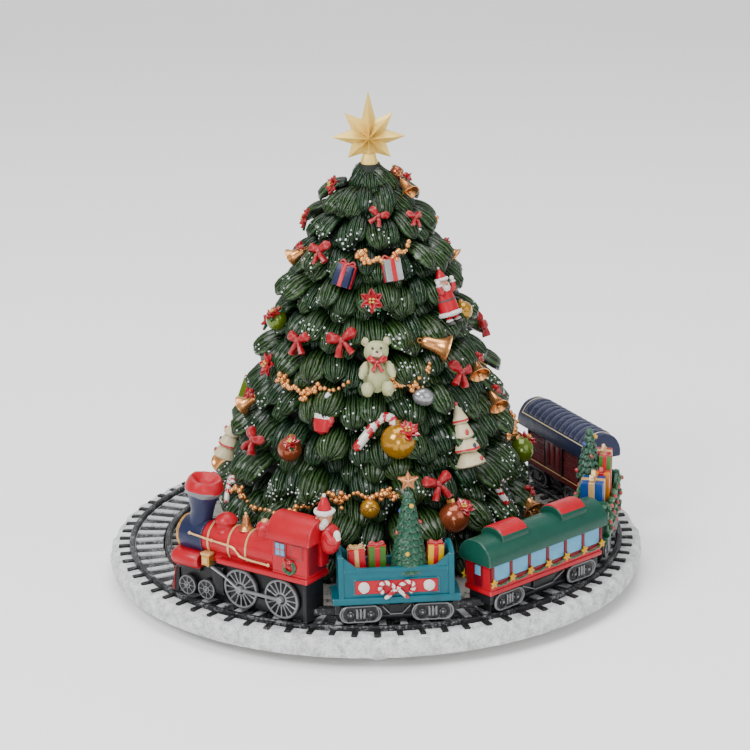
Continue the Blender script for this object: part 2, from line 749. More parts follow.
# ---- geometry recipes ----------------------------------------------------------------------------
class Recipe:
    """A Geometry Nodes tree with named inputs, built node by node."""

    def __init__(self, name: str, inputs: Sequence[tuple[str, str]]) -> None:
        """Make the tree.

        Args:
            name: name of the tree.
            inputs: name and socket type of each input after the geometry.
        """
        self.tree = bpy.data.node_groups.new(name, "GeometryNodeTree")
        self.tree.interface.new_socket("Geometry", in_out="INPUT", socket_type="NodeSocketGeometry")
        for label, kind in inputs:
            self.tree.interface.new_socket(label, in_out="INPUT", socket_type=kind)
        self.tree.interface.new_socket("Geometry", in_out="OUTPUT", socket_type="NodeSocketGeometry")
        self.source = self.tree.nodes.new("NodeGroupInput")

    def node(self, kind: str, settings: dict[str, object] | None = None,
             inputs: dict[str | int, object] | None = None) -> bpy.types.Node:
        """Add a node, its settings first, then values or links for its sockets, and return it."""
        made = self.tree.nodes.new(kind)
        for key, value in (settings or {}).items():
            setattr(made, key, value)
        for key, value in (inputs or {}).items():
            if isinstance(value, bpy.types.NodeSocket):
                self.tree.links.new(value, made.inputs[key])
            else:
                made.inputs[key].default_value = value
        return made

    def asked(self, label: str) -> bpy.types.NodeSocket:
        """Return the socket of a named input."""
        return self.source.outputs[label]

    def named(self, label: str, kind: str) -> bpy.types.NodeSocket:
        """Return an attribute that the points carry."""
        return self.node("GeometryNodeInputNamedAttribute", {"data_type": kind}, {"Name": label}).outputs[0]

    def close(self, geometry: bpy.types.NodeSocket) -> None:
        """End the tree: real meshes, then the finish."""
        real = self.node("GeometryNodeRealizeInstances", inputs={"Geometry": geometry})
        coated = self.node("GeometryNodeSetMaterial", inputs={"Geometry": real.outputs[0],
                                                              "Material": self.asked("Finish")})
        self.node("NodeGroupOutput", inputs={0: coated.outputs[0]})

    def made(self, carrier: bpy.types.Mesh, values: dict[str, object], name: str) -> bpy.types.Mesh:
        """Run the recipe on a mesh.

        Args:
            carrier: mesh that the recipe starts from.
            values: value of each named input.
            name: name of the result.

        Returns:
            The resulting plain mesh.
        """
        holder = bpy.data.objects.new(name, carrier)
        bpy.context.scene.collection.objects.link(holder)
        modifier = holder.modifiers.new("recipe", "NODES")
        modifier.node_group = self.tree
        keys = {item.name: item.identifier for item in self.tree.interface.items_tree
                if item.in_out == "INPUT"}
        for label, value in values.items():
            modifier[keys[label]] = value
        graph = bpy.context.evaluated_depsgraph_get()
        mesh = bpy.data.meshes.new_from_object(holder.evaluated_get(graph), depsgraph=graph)
        mesh.name = name
        bpy.data.objects.remove(holder)
        return mesh


def copies_recipe() -> Recipe:
    """Return the recipe that puts a copy of a template on each point, turned and sized as the point says."""
    recipe = Recipe("copies", [("Template", "NodeSocketObject"), ("Finish", "NodeSocketMaterial"),
                               ("Size", "NodeSocketFloat"), ("Sway", "NodeSocketFloat"),
                               ("Uneven", "NodeSocketFloat"), ("Seed", "NodeSocketInt")])
    seed = recipe.asked("Seed")
    template = recipe.node("GeometryNodeObjectInfo", inputs={"Object": recipe.asked("Template")})
    turn = recipe.node("FunctionNodeEulerToRotation", inputs={0: recipe.named("turn", "FLOAT_VECTOR")})
    low = recipe.node("ShaderNodeMath", {"operation": "MULTIPLY"}, {0: recipe.asked("Sway"), 1: -1.0})
    swing = []
    for extra in range(3):
        shifted = recipe.node("ShaderNodeMath", {"operation": "ADD"}, {0: seed, 1: float(extra)})
        swing.append(recipe.node("FunctionNodeRandomValue", {"data_type": "FLOAT"},
                                 {2: low.outputs[0], 3: recipe.asked("Sway"),
                                  8: shifted.outputs[0]}).outputs[1])
    angles = recipe.node("ShaderNodeCombineXYZ", inputs=dict(enumerate(swing)))
    extra_turn = recipe.node("FunctionNodeEulerToRotation", inputs={0: angles.outputs[0]})
    whole = recipe.node("FunctionNodeRotateRotation", {"rotation_space": "LOCAL"},
                        {0: turn.outputs[0], 1: extra_turn.outputs[0]})
    least = recipe.node("ShaderNodeMath", {"operation": "SUBTRACT"}, {0: 1.0, 1: recipe.asked("Uneven")})
    most = recipe.node("ShaderNodeMath", {"operation": "ADD"}, {0: 1.0, 1: recipe.asked("Uneven")})
    spread = recipe.node("FunctionNodeRandomValue", {"data_type": "FLOAT"},
                         {2: least.outputs[0], 3: most.outputs[0], 8: seed})
    own = recipe.node("ShaderNodeVectorMath", {"operation": "SCALE"},
                      {0: recipe.named("size", "FLOAT_VECTOR"), "Scale": spread.outputs[1]})
    sized = recipe.node("ShaderNodeVectorMath", {"operation": "SCALE"},
                        {0: own.outputs[0], "Scale": recipe.asked("Size")})
    placed = recipe.node("GeometryNodeInstanceOnPoints",
                         inputs={"Points": recipe.asked("Geometry"), "Instance": template.outputs["Geometry"],
                                 "Rotation": whole.outputs[0], "Scale": sized.outputs[0]})
    chance = recipe.node("FunctionNodeRandomValue", {"data_type": "FLOAT"}, {2: 0.0, 3: 1.0, 8: seed})
    tinted = recipe.node("GeometryNodeStoreNamedAttribute", {"data_type": "FLOAT", "domain": "INSTANCE"},
                         {"Geometry": placed.outputs[0], "Name": "hue", "Value": chance.outputs[1]})
    recipe.close(tinted.outputs[0])
    return recipe


def dots_recipe() -> Recipe:
    """Return the recipe that scatters small dots over the outer ends of the boughs."""
    recipe = Recipe("dots", [("Finish", "NodeSocketMaterial"), ("Dot", "NodeSocketFloat"),
                             ("Apart", "NodeSocketFloat"), ("Cluster", "NodeSocketFloat"),
                             ("Seed", "NodeSocketInt")])
    marks = recipe.node("ShaderNodeSeparateXYZ", inputs={0: recipe.named("marks", "FLOAT_VECTOR")})
    cloud = recipe.node("ShaderNodeTexNoise", inputs={"Scale": recipe.asked("Cluster"), "Detail": 1.0})
    place = recipe.node("GeometryNodeInputPosition")
    recipe.tree.links.new(place.outputs[0], cloud.inputs["Vector"])
    sparse = recipe.node("ShaderNodeMapRange", inputs={0: cloud.outputs[0], 1: 0.50, 2: 0.68})
    outer = recipe.node("ShaderNodeMapRange", inputs={0: marks.outputs[1], 1: 0.45, 2: 0.7})
    upper = recipe.node("ShaderNodeMath", {"operation": "MULTIPLY"},
                        {0: outer.outputs[0], 1: marks.outputs[2]})
    share = recipe.node("ShaderNodeMath", {"operation": "MULTIPLY"},
                        {0: sparse.outputs[0], 1: upper.outputs[0]})
    points = recipe.node("GeometryNodeDistributePointsOnFaces", {"distribute_method": "POISSON"},
                         {"Mesh": recipe.asked("Geometry"), "Distance Min": recipe.asked("Apart"),
                          "Density Max": 900000.0, "Density Factor": share.outputs[0],
                          "Seed": recipe.asked("Seed")})
    dot = recipe.node("GeometryNodeMeshIcoSphere", inputs={"Radius": recipe.asked("Dot"), "Subdivisions": 1})
    size = recipe.node("FunctionNodeRandomValue", {"data_type": "FLOAT"},
                       {2: 0.5, 3: 1.25, 8: recipe.asked("Seed")})
    placed = recipe.node("GeometryNodeInstanceOnPoints",
                         inputs={"Points": points.outputs["Points"], "Instance": dot.outputs[0],
                                 "Rotation": points.outputs["Rotation"], "Scale": size.outputs[1]})
    recipe.close(placed.outputs[0])
    return recipe


@dataclass
class Spot:
    """A place for one copy of a template, in millimetres and radians."""

    where: Vector
    turn: tuple[float, float, float] = (0.0, 0.0, 0.0)
    size: tuple[float, float, float] = (1.0, 1.0, 1.0)


class Shop:
    """Turns shapes into pieces that ride on a body, and makes repeated copies."""

    def __init__(self) -> None:
        """Make the two recipes."""
        self.copies = copies_recipe()
        self.dots = dots_recipe()

    def repeated(self, name: str, template: Shape, spots: Sequence[Spot], finish: Finish, sway: float = 0.0,
                 uneven: float = 0.0, seed: int = 1) -> bpy.types.Mesh:
        """Return one mesh of a template copied to many spots.

        Args:
            name: name of the mesh.
            template: the shape to copy, about its own origin.
            spots: where the copies go.
            finish: finish of all the copies.
            sway: most that a copy is turned at random, in radians.
            uneven: most that a copy's size differs, as a share.
            seed: seed of the random numbers.

        Returns:
            The plain mesh.
        """
        model = bpy.data.objects.new(name + "_template", template.mesh(name + "_template"))
        bpy.context.scene.collection.objects.link(model)
        points = bpy.data.meshes.new(name + "_points")
        points.from_pydata([s.where * MM for s in spots], [], [])
        turns = np.array([s.turn for s in spots], np.float32)
        sizes = np.array([s.size for s in spots], np.float32)
        points.attributes.new("turn", "FLOAT_VECTOR", "POINT").data.foreach_set("vector", turns.ravel())
        points.attributes.new("size", "FLOAT_VECTOR", "POINT").data.foreach_set("vector", sizes.ravel())
        mesh = self.copies.made(points, {"Template": model, "Finish": finish.material(), "Size": 1.0,
                                         "Sway": sway, "Uneven": uneven, "Seed": seed}, name)
        bpy.data.objects.remove(model)
        return mesh

    def piece(self, name: str, source: Shape | bpy.types.Mesh, body: str, finish: Finish,
              stands_for: Sequence[str] = (), slot: str | None = None,
              smooth: float = 40.0) -> bpy.types.Object:
        """Finish a piece and make it ride on its body.

        Args:
            name: name of the piece.
            source: its shape or its mesh.
            body: body that it rides on.
            finish: its finish.
            stands_for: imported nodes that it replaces.
            slot: material slot of the record.
            smooth: angle past which an edge stays sharp.

        Returns:
            The piece.
        """
        mesh = source.mesh(name, smooth) if isinstance(source, Shape) else source
        if not mesh.materials:
            mesh.materials.append(finish.material())
        made = bpy.data.objects.new(name, mesh)
        bpy.context.scene.collection.objects.link(made)
        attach(made, body)
        if stands_for:
            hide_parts(*stands_for)
        LOG.info("%s: %d faces on %s", name, len(mesh.polygons), body)
        return made

    def dress(self, nodes: dict[str, bpy.types.Object], finish: Finish, *names: str) -> None:
        """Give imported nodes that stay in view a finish."""
        for name in names:
            slots = nodes[name].data.materials
            slots.clear()
            slots.append(finish.material())
            LOG.info("%s: finished as %s", name, finish.name)


# ---- where things stand --------------------------------------------------------------------------
FOOT_H = 4.2
COVER_TOP = 5.5
DECK_Z = 10.4
BORE_R = 79.4
COVER_R = 85.25
TREE_LEVELS = [(10.4, 47.0), (20.0, 50.5), (30.0, 49.5), (47.0, 44.5), (68.0, 37.5),
               (88.0, 31.0), (108.0, 23.5), (121.0, 16.5), (134.0, 7.0)]
TIER_Z = [14.0, 27.0, 40.0, 52.5, 64.5, 76.0, 87.0, 97.5, 107.5, 117.0, 125.5]


def tree_radius(z: float) -> float:
    """Return the radius of the branch tips at a height."""
    heights = [level[0] for level in TREE_LEVELS]
    radii = [level[1] for level in TREE_LEVELS]
    return float(np.interp(z, heights, radii))


def on_tree(azimuth: float, height: float, out: float = 0.0) -> Matrix:
    """Return the place of an ornament: its -Y faces outwards and its top leans in."""
    outwards = at(0.0, -(tree_radius(height) + out), height, rx=-20.0)
    return Matrix.Rotation(math.radians(azimuth + 90.0), 4, "Z") @ outwards


@dataclass(frozen=True)
class TrackSpot:
    """Where a vehicle stands: its angle round the track and the radius of its middle."""

    angle: float
    radius: float

    def place(self) -> Matrix:
        """Return its place: X forwards, Y outwards, Z up."""
        return Matrix.Rotation(math.radians(self.angle - 90.0), 4,
                               "Z") @ Matrix.Translation((0, self.radius, 0))


# ---- base and track ------------------------------------------------------------------------------
@dataclass
class SnowyBase:
    """The snow ring, the ground inside the track, the ties and everything under the floor."""

    shop: Shop
    nodes: dict[str, bpy.types.Object]
    outer_ties: int = 76
    ring_ties: int = 72
    tie_width: float = 1.9
    lump: float = 1.0
    sides: int = 420

    def rim(self) -> Shape:
        """Return the snow ring, lumpy on top and ragged round its edge."""
        top = [(BORE_R + 3.4 * i / 3, DECK_Z) for i in range(4)] + [(83.8, DECK_Z), (84.8, 10.35),
                                                                    (85.7, 10.15)]
        edge = [(86.5, 9.7), (87.1, 9.0), (87.4, 8.1), (87.5, 7.1), (87.45, 6.1), (87.3, 5.1), (87.1, FOOT_H)]
        outline = [(COVER_R, FOOT_H), (COVER_R, COVER_TOP), (BORE_R, COVER_TOP)] + top + edge

        def rough(a: float, r: float, z: float) -> tuple[float, float]:
            """Push the snow in and out by its height and angle."""
            if r <= COVER_R and z < COVER_TOP + 0.01 or r < BORE_R + 0.1:
                return 0.0, 0.0
            x, y = r * math.cos(a), r * math.sin(a)
            soft = noise.noise((x / 4.2, y / 4.2, z / 3.0)) + 0.6 * noise.noise((x / 1.7, y / 1.7, z / 1.5))
            side = min(1.0, max(0.0, (r - 83.5) / 3.0))
            drop = min(1.0, max(0.0, (z - FOOT_H) / 1.5))
            return max(-0.9, min(0.45, 0.55 * self.lump * soft)) * side * (0.35 + 0.65 * drop), \
                (0.14 + 0.36 * side) * soft * drop * (1.0 if z > 6 else 0.4)

        return hoop(outline[::-1], Paint.WHITE, self.sides, rough)

    def build(self) -> None:
        """Make the snow and the ties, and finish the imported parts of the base."""
        rim = self.rim()
        self.shop.piece("snow_rim", rim, "base", SNOW, ["snow_base"], "snow", 70)
        tie = Shape().take(brick((-2.0, 2.0), (-0.5 * self.tie_width, 0.5 * self.tie_width), (-0.3, 0.62),
                                 Paint.BLACK, 0.22, 1)).lumped(0.12, 1.3)
        spots = [self.tie_spot(83.0, 360.0 * i / self.outer_ties, 1.0) for i in range(self.outer_ties)]
        inner = [self.tie_spot(66.0, 360.0 * i / self.outer_ties, 0.72) for i in range(self.outer_ties)]
        ties = self.shop.repeated("outer_ties", tie, spots + inner, OUTER_TIE, 0.07, 0.09, 4)
        self.shop.piece("outer_ties", ties, "base", OUTER_TIE, ["fixed_ties"], "tie")
        self.shop.dress(self.nodes, RAIL, "outer_rail", "inner_rail")
        self.shop.dress(self.nodes, GROUND, "centre_island")
        self.shop.dress(self.nodes, COVER_PLASTIC, "bottom_cover")
        self.shop.dress(self.nodes, RUBBER, "rubber_feet")
        self.shop.dress(self.nodes, STEEL, "base_screws")

    def tie_spot(self, radius: float, angle: float, length: float) -> Spot:
        """Return the place of a tie at a radius and an angle in degrees."""
        a = math.radians(angle)
        return Spot(Vector((radius * math.cos(a), radius * math.sin(a), DECK_Z)), (0, 0, a), (length, 1, 1))

    def build_ring(self) -> None:
        """Make the ties that turn with the train ring, and finish the ring."""
        tie = brick((-4.4, 4.4), (-1.15, 1.15), (-0.1, 0.6), Paint.IRON, 0.2, 2).lumped(0.15, 1.2)
        spots = [self.tie_spot(74.8, 1.2 + 360.0 * i / self.ring_ties, 1.0) for i in range(self.ring_ties)]
        ties = self.shop.repeated("dusted_ring_ties", tie, spots, RING_TIE, 0.025, 0.02, 9)
        self.shop.piece("dusted_ring_ties", ties, "train", RING_TIE, ["ring_ties"], "ring_tie")
        self.shop.dress(self.nodes, STRIP, "train_ring")


@dataclass
class MusicWork:
    """The wind-up movement inside the tree and the key under the base."""

    shop: Shop
    nodes: dict[str, bpy.types.Object]

    def build(self) -> None:
        """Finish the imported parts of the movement."""
        self.shop.dress(self.nodes, BRASS, "movement_bedplate", "music_cylinder", "cylinder_bearing",
                        "governor_bracket")
        self.shop.dress(self.nodes, STEEL, "mainspring", "comb", "movement_screws", "winding_arbor",
                        "winding_key", "spring_housing")
        self.shop.dress(self.nodes, GEAR_PLASTIC, "drive_gear", "crown_wheel", "cylinder_pinion",
                        "cylinder_gear", "governor_wheel", "governor_fly")


# ---- tree ----------------------------------------------------------------------------------------
@dataclass
class FirTree:
    """The tree: a dark core and rows of drooping carved boughs with dots of snow."""

    shop: Shop
    reach: float = 10.6
    width: float = 10.8
    thick: float = 4.0
    across: int = 10
    along: int = 8
    overlap: float = 0.72
    dot: float = 0.36

    def bough(self) -> Shape:
        """Return one drooping bough: root at the origin, its tip out and down, its top ridged."""
        loops = []
        marks = []
        for i in range(self.along + 1):
            v = i / self.along
            y = self.reach * (v - 0.10 * v * v)
            z = -1.5 * v - 6.6 * v ** 1.9
            slope = math.atan2(-(1.5 + 12.5 * v ** 0.9), self.reach * (1 - 0.2 * v))
            end = math.sqrt(max(0.0, 1 - ((v - 0.5) / 0.5) ** 2)) if v > 0.5 else 1.0
            half = 0.5 * self.width * (0.62 + 0.42 * v ** 0.8) * max(end, 0.05)
            body = 0.5 * self.thick * (0.75 + 0.5 * v) * max(end ** 0.6, 0.08)
            ahead = Vector((0, math.cos(slope), math.sin(slope)))
            up = Vector((0, -math.sin(slope), math.cos(slope)))
            ring = []
            row = []
            top = self.across
            for k in range(top + 4):
                over = k <= top
                u = 1 - 2 * k / top if over else -1 + 2 * (k - top) / 4
                arch = math.sqrt(max(0.0, 1 - u * u))
                fan = 0.35 * math.cos(u * math.pi * 5) * (1 - v * 0.4) if over else 0.0
                lift = (body * arch * 1.25 + fan * arch) if over else -body * arch * 0.75
                tip = -0.9 * u * u * v
                ring.append(Vector((u * half, y, z - 1.3 * u * u)) + up * lift + ahead * tip)
                row.append((u, v, 1.0 if over else 0.0))
            loops.append(ring)
            marks.append(row)
        return rings(loops, Paint.LEAF, True, marks)

    def rows(self) -> Iterable[tuple[float, float, float, float, float]]:
        """Give each row of boughs: height of the tips, radius, size, share of a step turned, droop."""
        for i, z in enumerate(TIER_Z):
            size = 1.08 - 0.032 * i
            yield z - 2.4, tree_radius(z) + 1.5, size, 0.5 * (i % 2), 0.0
            yield z + 4.4, tree_radius(z + 4.4) - 2.6, size * 0.92, 0.25 + 0.5 * (i % 2), 0.12
        yield 128.5, 8.8, 0.66, 0.1, 0.25
        yield 130.6, 6.2, 0.56, 0.6, 0.35

    def spots(self) -> list[Spot]:
        """Return the place of every bough."""
        places = []
        for tip, radius, size, phase, droop in self.rows():
            count = max(7, round(2 * math.pi * (radius - 2.0) / (self.width * size * self.overlap)))
            for k in range(count):
                a = 2 * math.pi * (k + phase) / count
                root = radius - self.reach * 0.9 * size
                lean = 1.5 * math.sin(k * 2.4 + tip)
                where = Vector((root * math.cos(a), root * math.sin(a), tip + 8.1 * size + lean))
                places.append(Spot(where, (-droop, 0.0, a - math.pi / 2), (size, size, size)))
        return places

    def core(self) -> Shape:
        """Return the dark core that closes the gaps between boughs, hollow over the movement."""
        outside = [(tree_radius(z) - 6.5, z) for z in (10.5, 20, 30, 47, 68, 88, 108, 121)] + [(4.5, 131),
                                                                                               (3.4, 137)]
        inside = [(0.0, 42.0), (30.0, 41.0), (37.4, 38.5), (38.2, 10.5)]
        profile = [(0.0, 137.0)] + outside[::-1]
        bottom = [(r, z) for r, z in inside[::-1]]
        whole = profile + bottom
        return lathe(whole[::-1], Paint.FIR, 40)

    def build(self) -> None:
        """Make the core, the boughs and the snow on them."""
        self.shop.piece("tree_core", self.core(), "base", CORE, ["tree_shell"], "tree_green", 60)
        boughs = self.shop.repeated("carved_boughs", self.bough(), self.spots(), BOUGH, 0.25, 0.16, 11)
        self.shop.piece("carved_boughs", boughs, "base", BOUGH, (), "tree_green")
        snow = self.shop.dots.made(boughs, {"Finish": SNOW_DOT.material(), "Dot": self.dot * MM,
                                            "Apart": 1.2 * MM, "Cluster": 80.0, "Seed": 5}, "snow_dots")
        self.shop.piece("snow_dots", snow, "base", SNOW_DOT, (), "snow")


@dataclass
class StarTopper:
    """The gold star with eight folded rays on top of the tree."""

    shop: Shop
    height: float = 145.6
    rays: tuple[float, ...] = (14.8, 10.9, 11.8, 9.6, 10.0)
    valley: float = 5.9
    thick: float = 4.6
    cuts: int = 5

    def shape(self) -> Shape:
        """Return the star with a ridge along each ray and a fold between rays, front and back."""
        lengths = list(self.rays) + list(self.rays[3:0:-1])
        star = Shape()
        rim = []
        for i, length in enumerate(lengths):
            a = math.pi / 2 - i * math.pi / 4
            rim.append((length * math.cos(a), length * math.sin(a), 1.0))
            b = a - math.pi / 8
            rim.append((self.valley * math.cos(b), self.valley * math.sin(b), 0.0))
        for side in (-1.0, 1.0):
            points: list[Point] = [(0.0, side * self.thick, 0.0)]
            for step in range(1, self.cuts + 1):
                t = step / self.cuts
                for x, z, ridge in rim:
                    depth = self.thick * (1 - t) if ridge else self.thick * (1 - t) * 0.16
                    width = 0.35 * (1 - t * 0.6) if ridge else 0.35
                    points.append((x * t, side * (depth + width), z * t))
            n = len(rim)
            faces: list[tuple[int, ...]] = [(0, 1 + j, 1 + (j + 1) % n) for j in range(n)]
            for step in range(self.cuts - 1):
                for j in range(n):
                    a, b = 1 + step * n + j, 1 + step * n + (j + 1) % n
                    faces.append((a, a + n, b + n, b))
            if side < 0:
                faces = [tuple(reversed(f)) for f in faces]
            star.add(points, faces, Paint.GOLD)
        n = len(rim)
        start = 1 + (self.cuts - 1) * n
        other = 1 + self.cuts * n
        band = [(start + j, start + (j + 1) % n, start + (j + 1) % n + other, start + j + other)
                for j in range(n)]
        star.faces += band
        star.paints += [Paint.GOLD] * n
        return star

    def build(self) -> None:
        """Make the star and the collar under it."""
        whole = self.shape().lumped(0.22, 2.2, 4.0).moved(at(z=self.height))
        collar = lathe([(0, -9.2), (3.0, -9.0), (2.6, -7.2), (1.9, -5.4), (0, -5.0)], Paint.GOLD, 14)
        whole.take(collar.lumped(0.3, 1.6), at(z=self.height))
        self.shop.piece("folded_star", whole, "base", STAR_GOLD, ["star_topper"], "star_gold", 22)


# ---- ornaments -----------------------------------------------------------------------------------
def petal_ring(count: int, length: float, width: float, cup: float, paint: Paint, turn: float = 0.0) -> Shape:
    """Return pointed petals round the -Y axis, each with a fold along its middle."""
    steps = 4
    front: list[Point] = []
    for i in range(steps + 1):
        v = i / steps
        half = 0.5 * width * math.sin(math.pi * min(1.0, 0.12 + v * 0.88)) ** 0.8 * (1.0 if v < 1 else 0.05)
        depth = -cup * v * v - 0.25
        front += [(-half, depth + 0.10, length * v), (0.0, depth + 0.42 * (1 - v * 0.6), length * v),
                  (half, depth + 0.10, length * v)]
    loops = []
    for i in range(steps + 1):
        left, middle, right = front[3 * i:3 * i + 3]
        loops.append([left, (0.5 * left[0], left[1] - 0.12, left[2]), middle,
                      (0.5 * right[0], right[1] - 0.12, right[2]),
                      right, (right[0] * 0.5, right[1] + 0.75, right[2]),
                      (left[0] * 0.5, left[1] + 0.75, left[2])])
    petal = rings([loop[::-1] for loop in loops], paint)
    whole = Shape()
    for k in range(count):
        whole.take(petal, at(ry=turn + 360.0 * k / count))
    return whole


def bloom(size: float) -> Shape:
    """Return a poinsettia facing -Y: two rows of red petals, two leaves and a yellow middle."""
    flower = petal_ring(6, size * 0.5, size * 0.30, 0.3, Paint.RIBBON_RED)
    flower.take(petal_ring(5, size * 0.36, size * 0.24, 0.9, Paint.RED, 30.0), at(y=-0.35))
    flower.take(petal_ring(3, size * 0.56, size * 0.26, -0.2, Paint.LEAF, 20.0), at(y=0.35))
    for k in range(4):
        a = math.pi * (0.25 + k / 2)
        flower.take(orb(0.42, 0.42, 0.42, Paint.YELLOW, 7, 5),
                    at(0.09 * size * math.cos(a), -1.15, 0.09 * size * math.sin(a)))
    return flower.lumped(0.18, 1.4, size)


def ribbon_bow(size: float, paint: Paint = Paint.RIBBON_RED) -> Shape:
    """Return a tied bow facing -Y: two full loops, two forked tails and a knot."""
    bow = Shape()
    for side in (-1, 1):
        fold = orb(0.27 * size, 0.13 * size + 0.5, 0.21 * size, paint, 14, 9)
        fold.points = [(x, y + 0.22 * abs(x / (0.25 * size)) ** 2
                        + 0.5 * math.exp(-(z / (0.05 * size)) ** 2) * (x * side > 0),
                        z * (0.72 + 0.5 * max(0.0, x * side / (0.25 * size))))
                       for x, y, z in fold.points]
        bow.take(fold, at(side * 0.25 * size, -0.9, 0.12 * size, ry=-side * 24))
        tail = smooth_path([(0, -0.6, 0), (side * 0.11 * size, -1.1, -0.2 * size),
                            (side * 0.24 * size, -0.8, -0.47 * size)], 4)
        bow.take(tube(tail, [0.08 * size + 0.09 * size * i / len(tail) for i in range(len(tail))], paint, 8,
                      0.75))
    bow.take(orb(0.10 * size, 0.9, 0.11 * size, paint, 10, 7), at(y=-1.4))
    return bow.lumped(0.3, 0.2 * size, size * 1.3)


def tied_parcel(width: float, depth: float, height: float, paper: Paint, tie: Paint) -> Shape:
    """Return a parcel standing on z = 0, with a ribbon each way and a bow on top."""
    w, d = width / 2, depth / 2
    box = brick((-w, w), (-d, d), (0, height), paper, 0.35)
    band = 0.09 * width + 0.25
    box.take(brick((-band, band), (-d - 0.22, d + 0.22), (0, height + 0.22), tie, 0.12, 1))
    box.take(brick((-w - 0.22, w + 0.22), (-band, band), (0, height + 0.22), tie, 0.12, 1))
    for side in (-1, 1):
        loop = smooth_path([(0, 0, height), (side * 0.30 * width, -0.2, height + 0.24 * width),
                            (side * 0.40 * width, 0, height + 0.08 * width), (0, 0, height + 0.1)], 4)
        box.take(tube(loop, 0.085 * width + 0.12, tie, 6, 0.6))
    box.take(orb(0.09 * width + 0.2, 0.09 * width + 0.2, 0.09 * width, tie, 8, 6), at(z=height + 0.3))
    return box.lumped(0.14, 2.6, height)


def hanging_bell(size: float) -> Shape:
    """Return a flared bell with a rolled lip and a clapper, its crown up."""
    s = size
    outer = [(0, 0.50 * s), (0.10 * s, 0.49 * s), (0.17 * s, 0.43 * s), (0.21 * s, 0.30 * s),
             (0.235 * s, 0.10 * s),
             (0.27 * s, -0.10 * s), (0.34 * s, -0.28 * s), (0.45 * s, -0.42 * s), (0.51 * s, -0.47 * s),
             (0.52 * s, -0.50 * s), (0.48 * s, -0.52 * s), (0.40 * s, -0.42 * s), (0.30 * s, -0.27 * s),
             (0.22 * s, -0.08 * s), (0.15 * s, 0.15 * s), (0, 0.25 * s)]
    bell = lathe(outer[::-1], Paint.COPPER, 26)
    bell.take(orb(0.12 * s, 0.12 * s, 0.14 * s, Paint.COPPER, 10, 7), at(z=-0.44 * s))
    bell.take(tube([(0, 0, 0.26 * s), (0, 0, -0.4 * s)], 0.03 * s, Paint.COPPER, 6))
    bell.take(tube([(0.08 * s * math.cos(a), 0, 0.54 * s + 0.08 * s * math.sin(a)) for a in
                    (2 * math.pi * i / 10 for i in range(10))], 0.025 * s, Paint.COPPER, 6, closed=True))
    return bell.lumped(0.10, 1.8, size)


def sugar_cane(size: float, radius: float) -> Shape:
    """Return a striped cane leaning in its hook, facing -Y."""
    knots = [(0.0, 0, -0.46 * size), (0.0, 0, 0.0), (0.0, 0, 0.22 * size), (0.06 * size, 0, 0.40 * size),
             (0.20 * size, 0, 0.46 * size), (0.32 * size, 0, 0.38 * size), (0.35 * size, 0, 0.22 * size)]
    path = smooth_path(knots, 7)

    def stripe(step: int, side: int) -> Paint:
        """Wind a red stripe round the cane."""
        return Paint.RED if (step / 7.0 + side / 12.0) % 1.0 < 0.42 else Paint.WHITE

    ends = [radius * (1.0 if 1 <= i < len(path) - 1 else 0.55) for i in range(len(path))]
    return tube(path, ends, stripe, 12)


def stacked_fir(height: float) -> Shape:
    """Return a cream snow-laden fir of four tiers with red bands and small red marks."""
    h = height
    tiers = [(-0.50, 0.245), (-0.26, 0.205), (-0.03, 0.165), (0.20, 0.125)]
    outline: list[tuple[float, float]] = [(0, -0.5 * h)]
    paints = [Paint.CREAM]
    for i, (low, r) in enumerate(tiers):
        outline += [(r * 0.80 * h, low * h), (r * h, (low + 0.025) * h), (r * 0.97 * h, (low + 0.06) * h),
                    (r * 0.72 * h, (low + 0.16) * h), (r * 0.50 * h, (low + 0.235) * h)]
        band = Paint.RED if i in (1, 3) else Paint.CREAM
        paints += [Paint.CREAM, band, Paint.CREAM, Paint.CREAM, Paint.CREAM]
    outline += [(0, 0.52 * h)]
    body = lathe(outline, paints, 20)
    for i, (low, r) in enumerate(tiers[:3]):
        mark = orb(0.034 * h, 0.5, 0.045 * h, Paint.RED if i != 1 else Paint.NAVY, 8, 6)
        body.take(mark, at((0.05 - 0.05 * i) * h, -r * 0.90 * h, (low + 0.09) * h))
    body.take(orb(0.035 * h, 0.035 * h, 0.035 * h, Paint.RED, 8, 6), at(z=0.52 * h))
    return body.lumped(0.35, 0.2 * h, h)


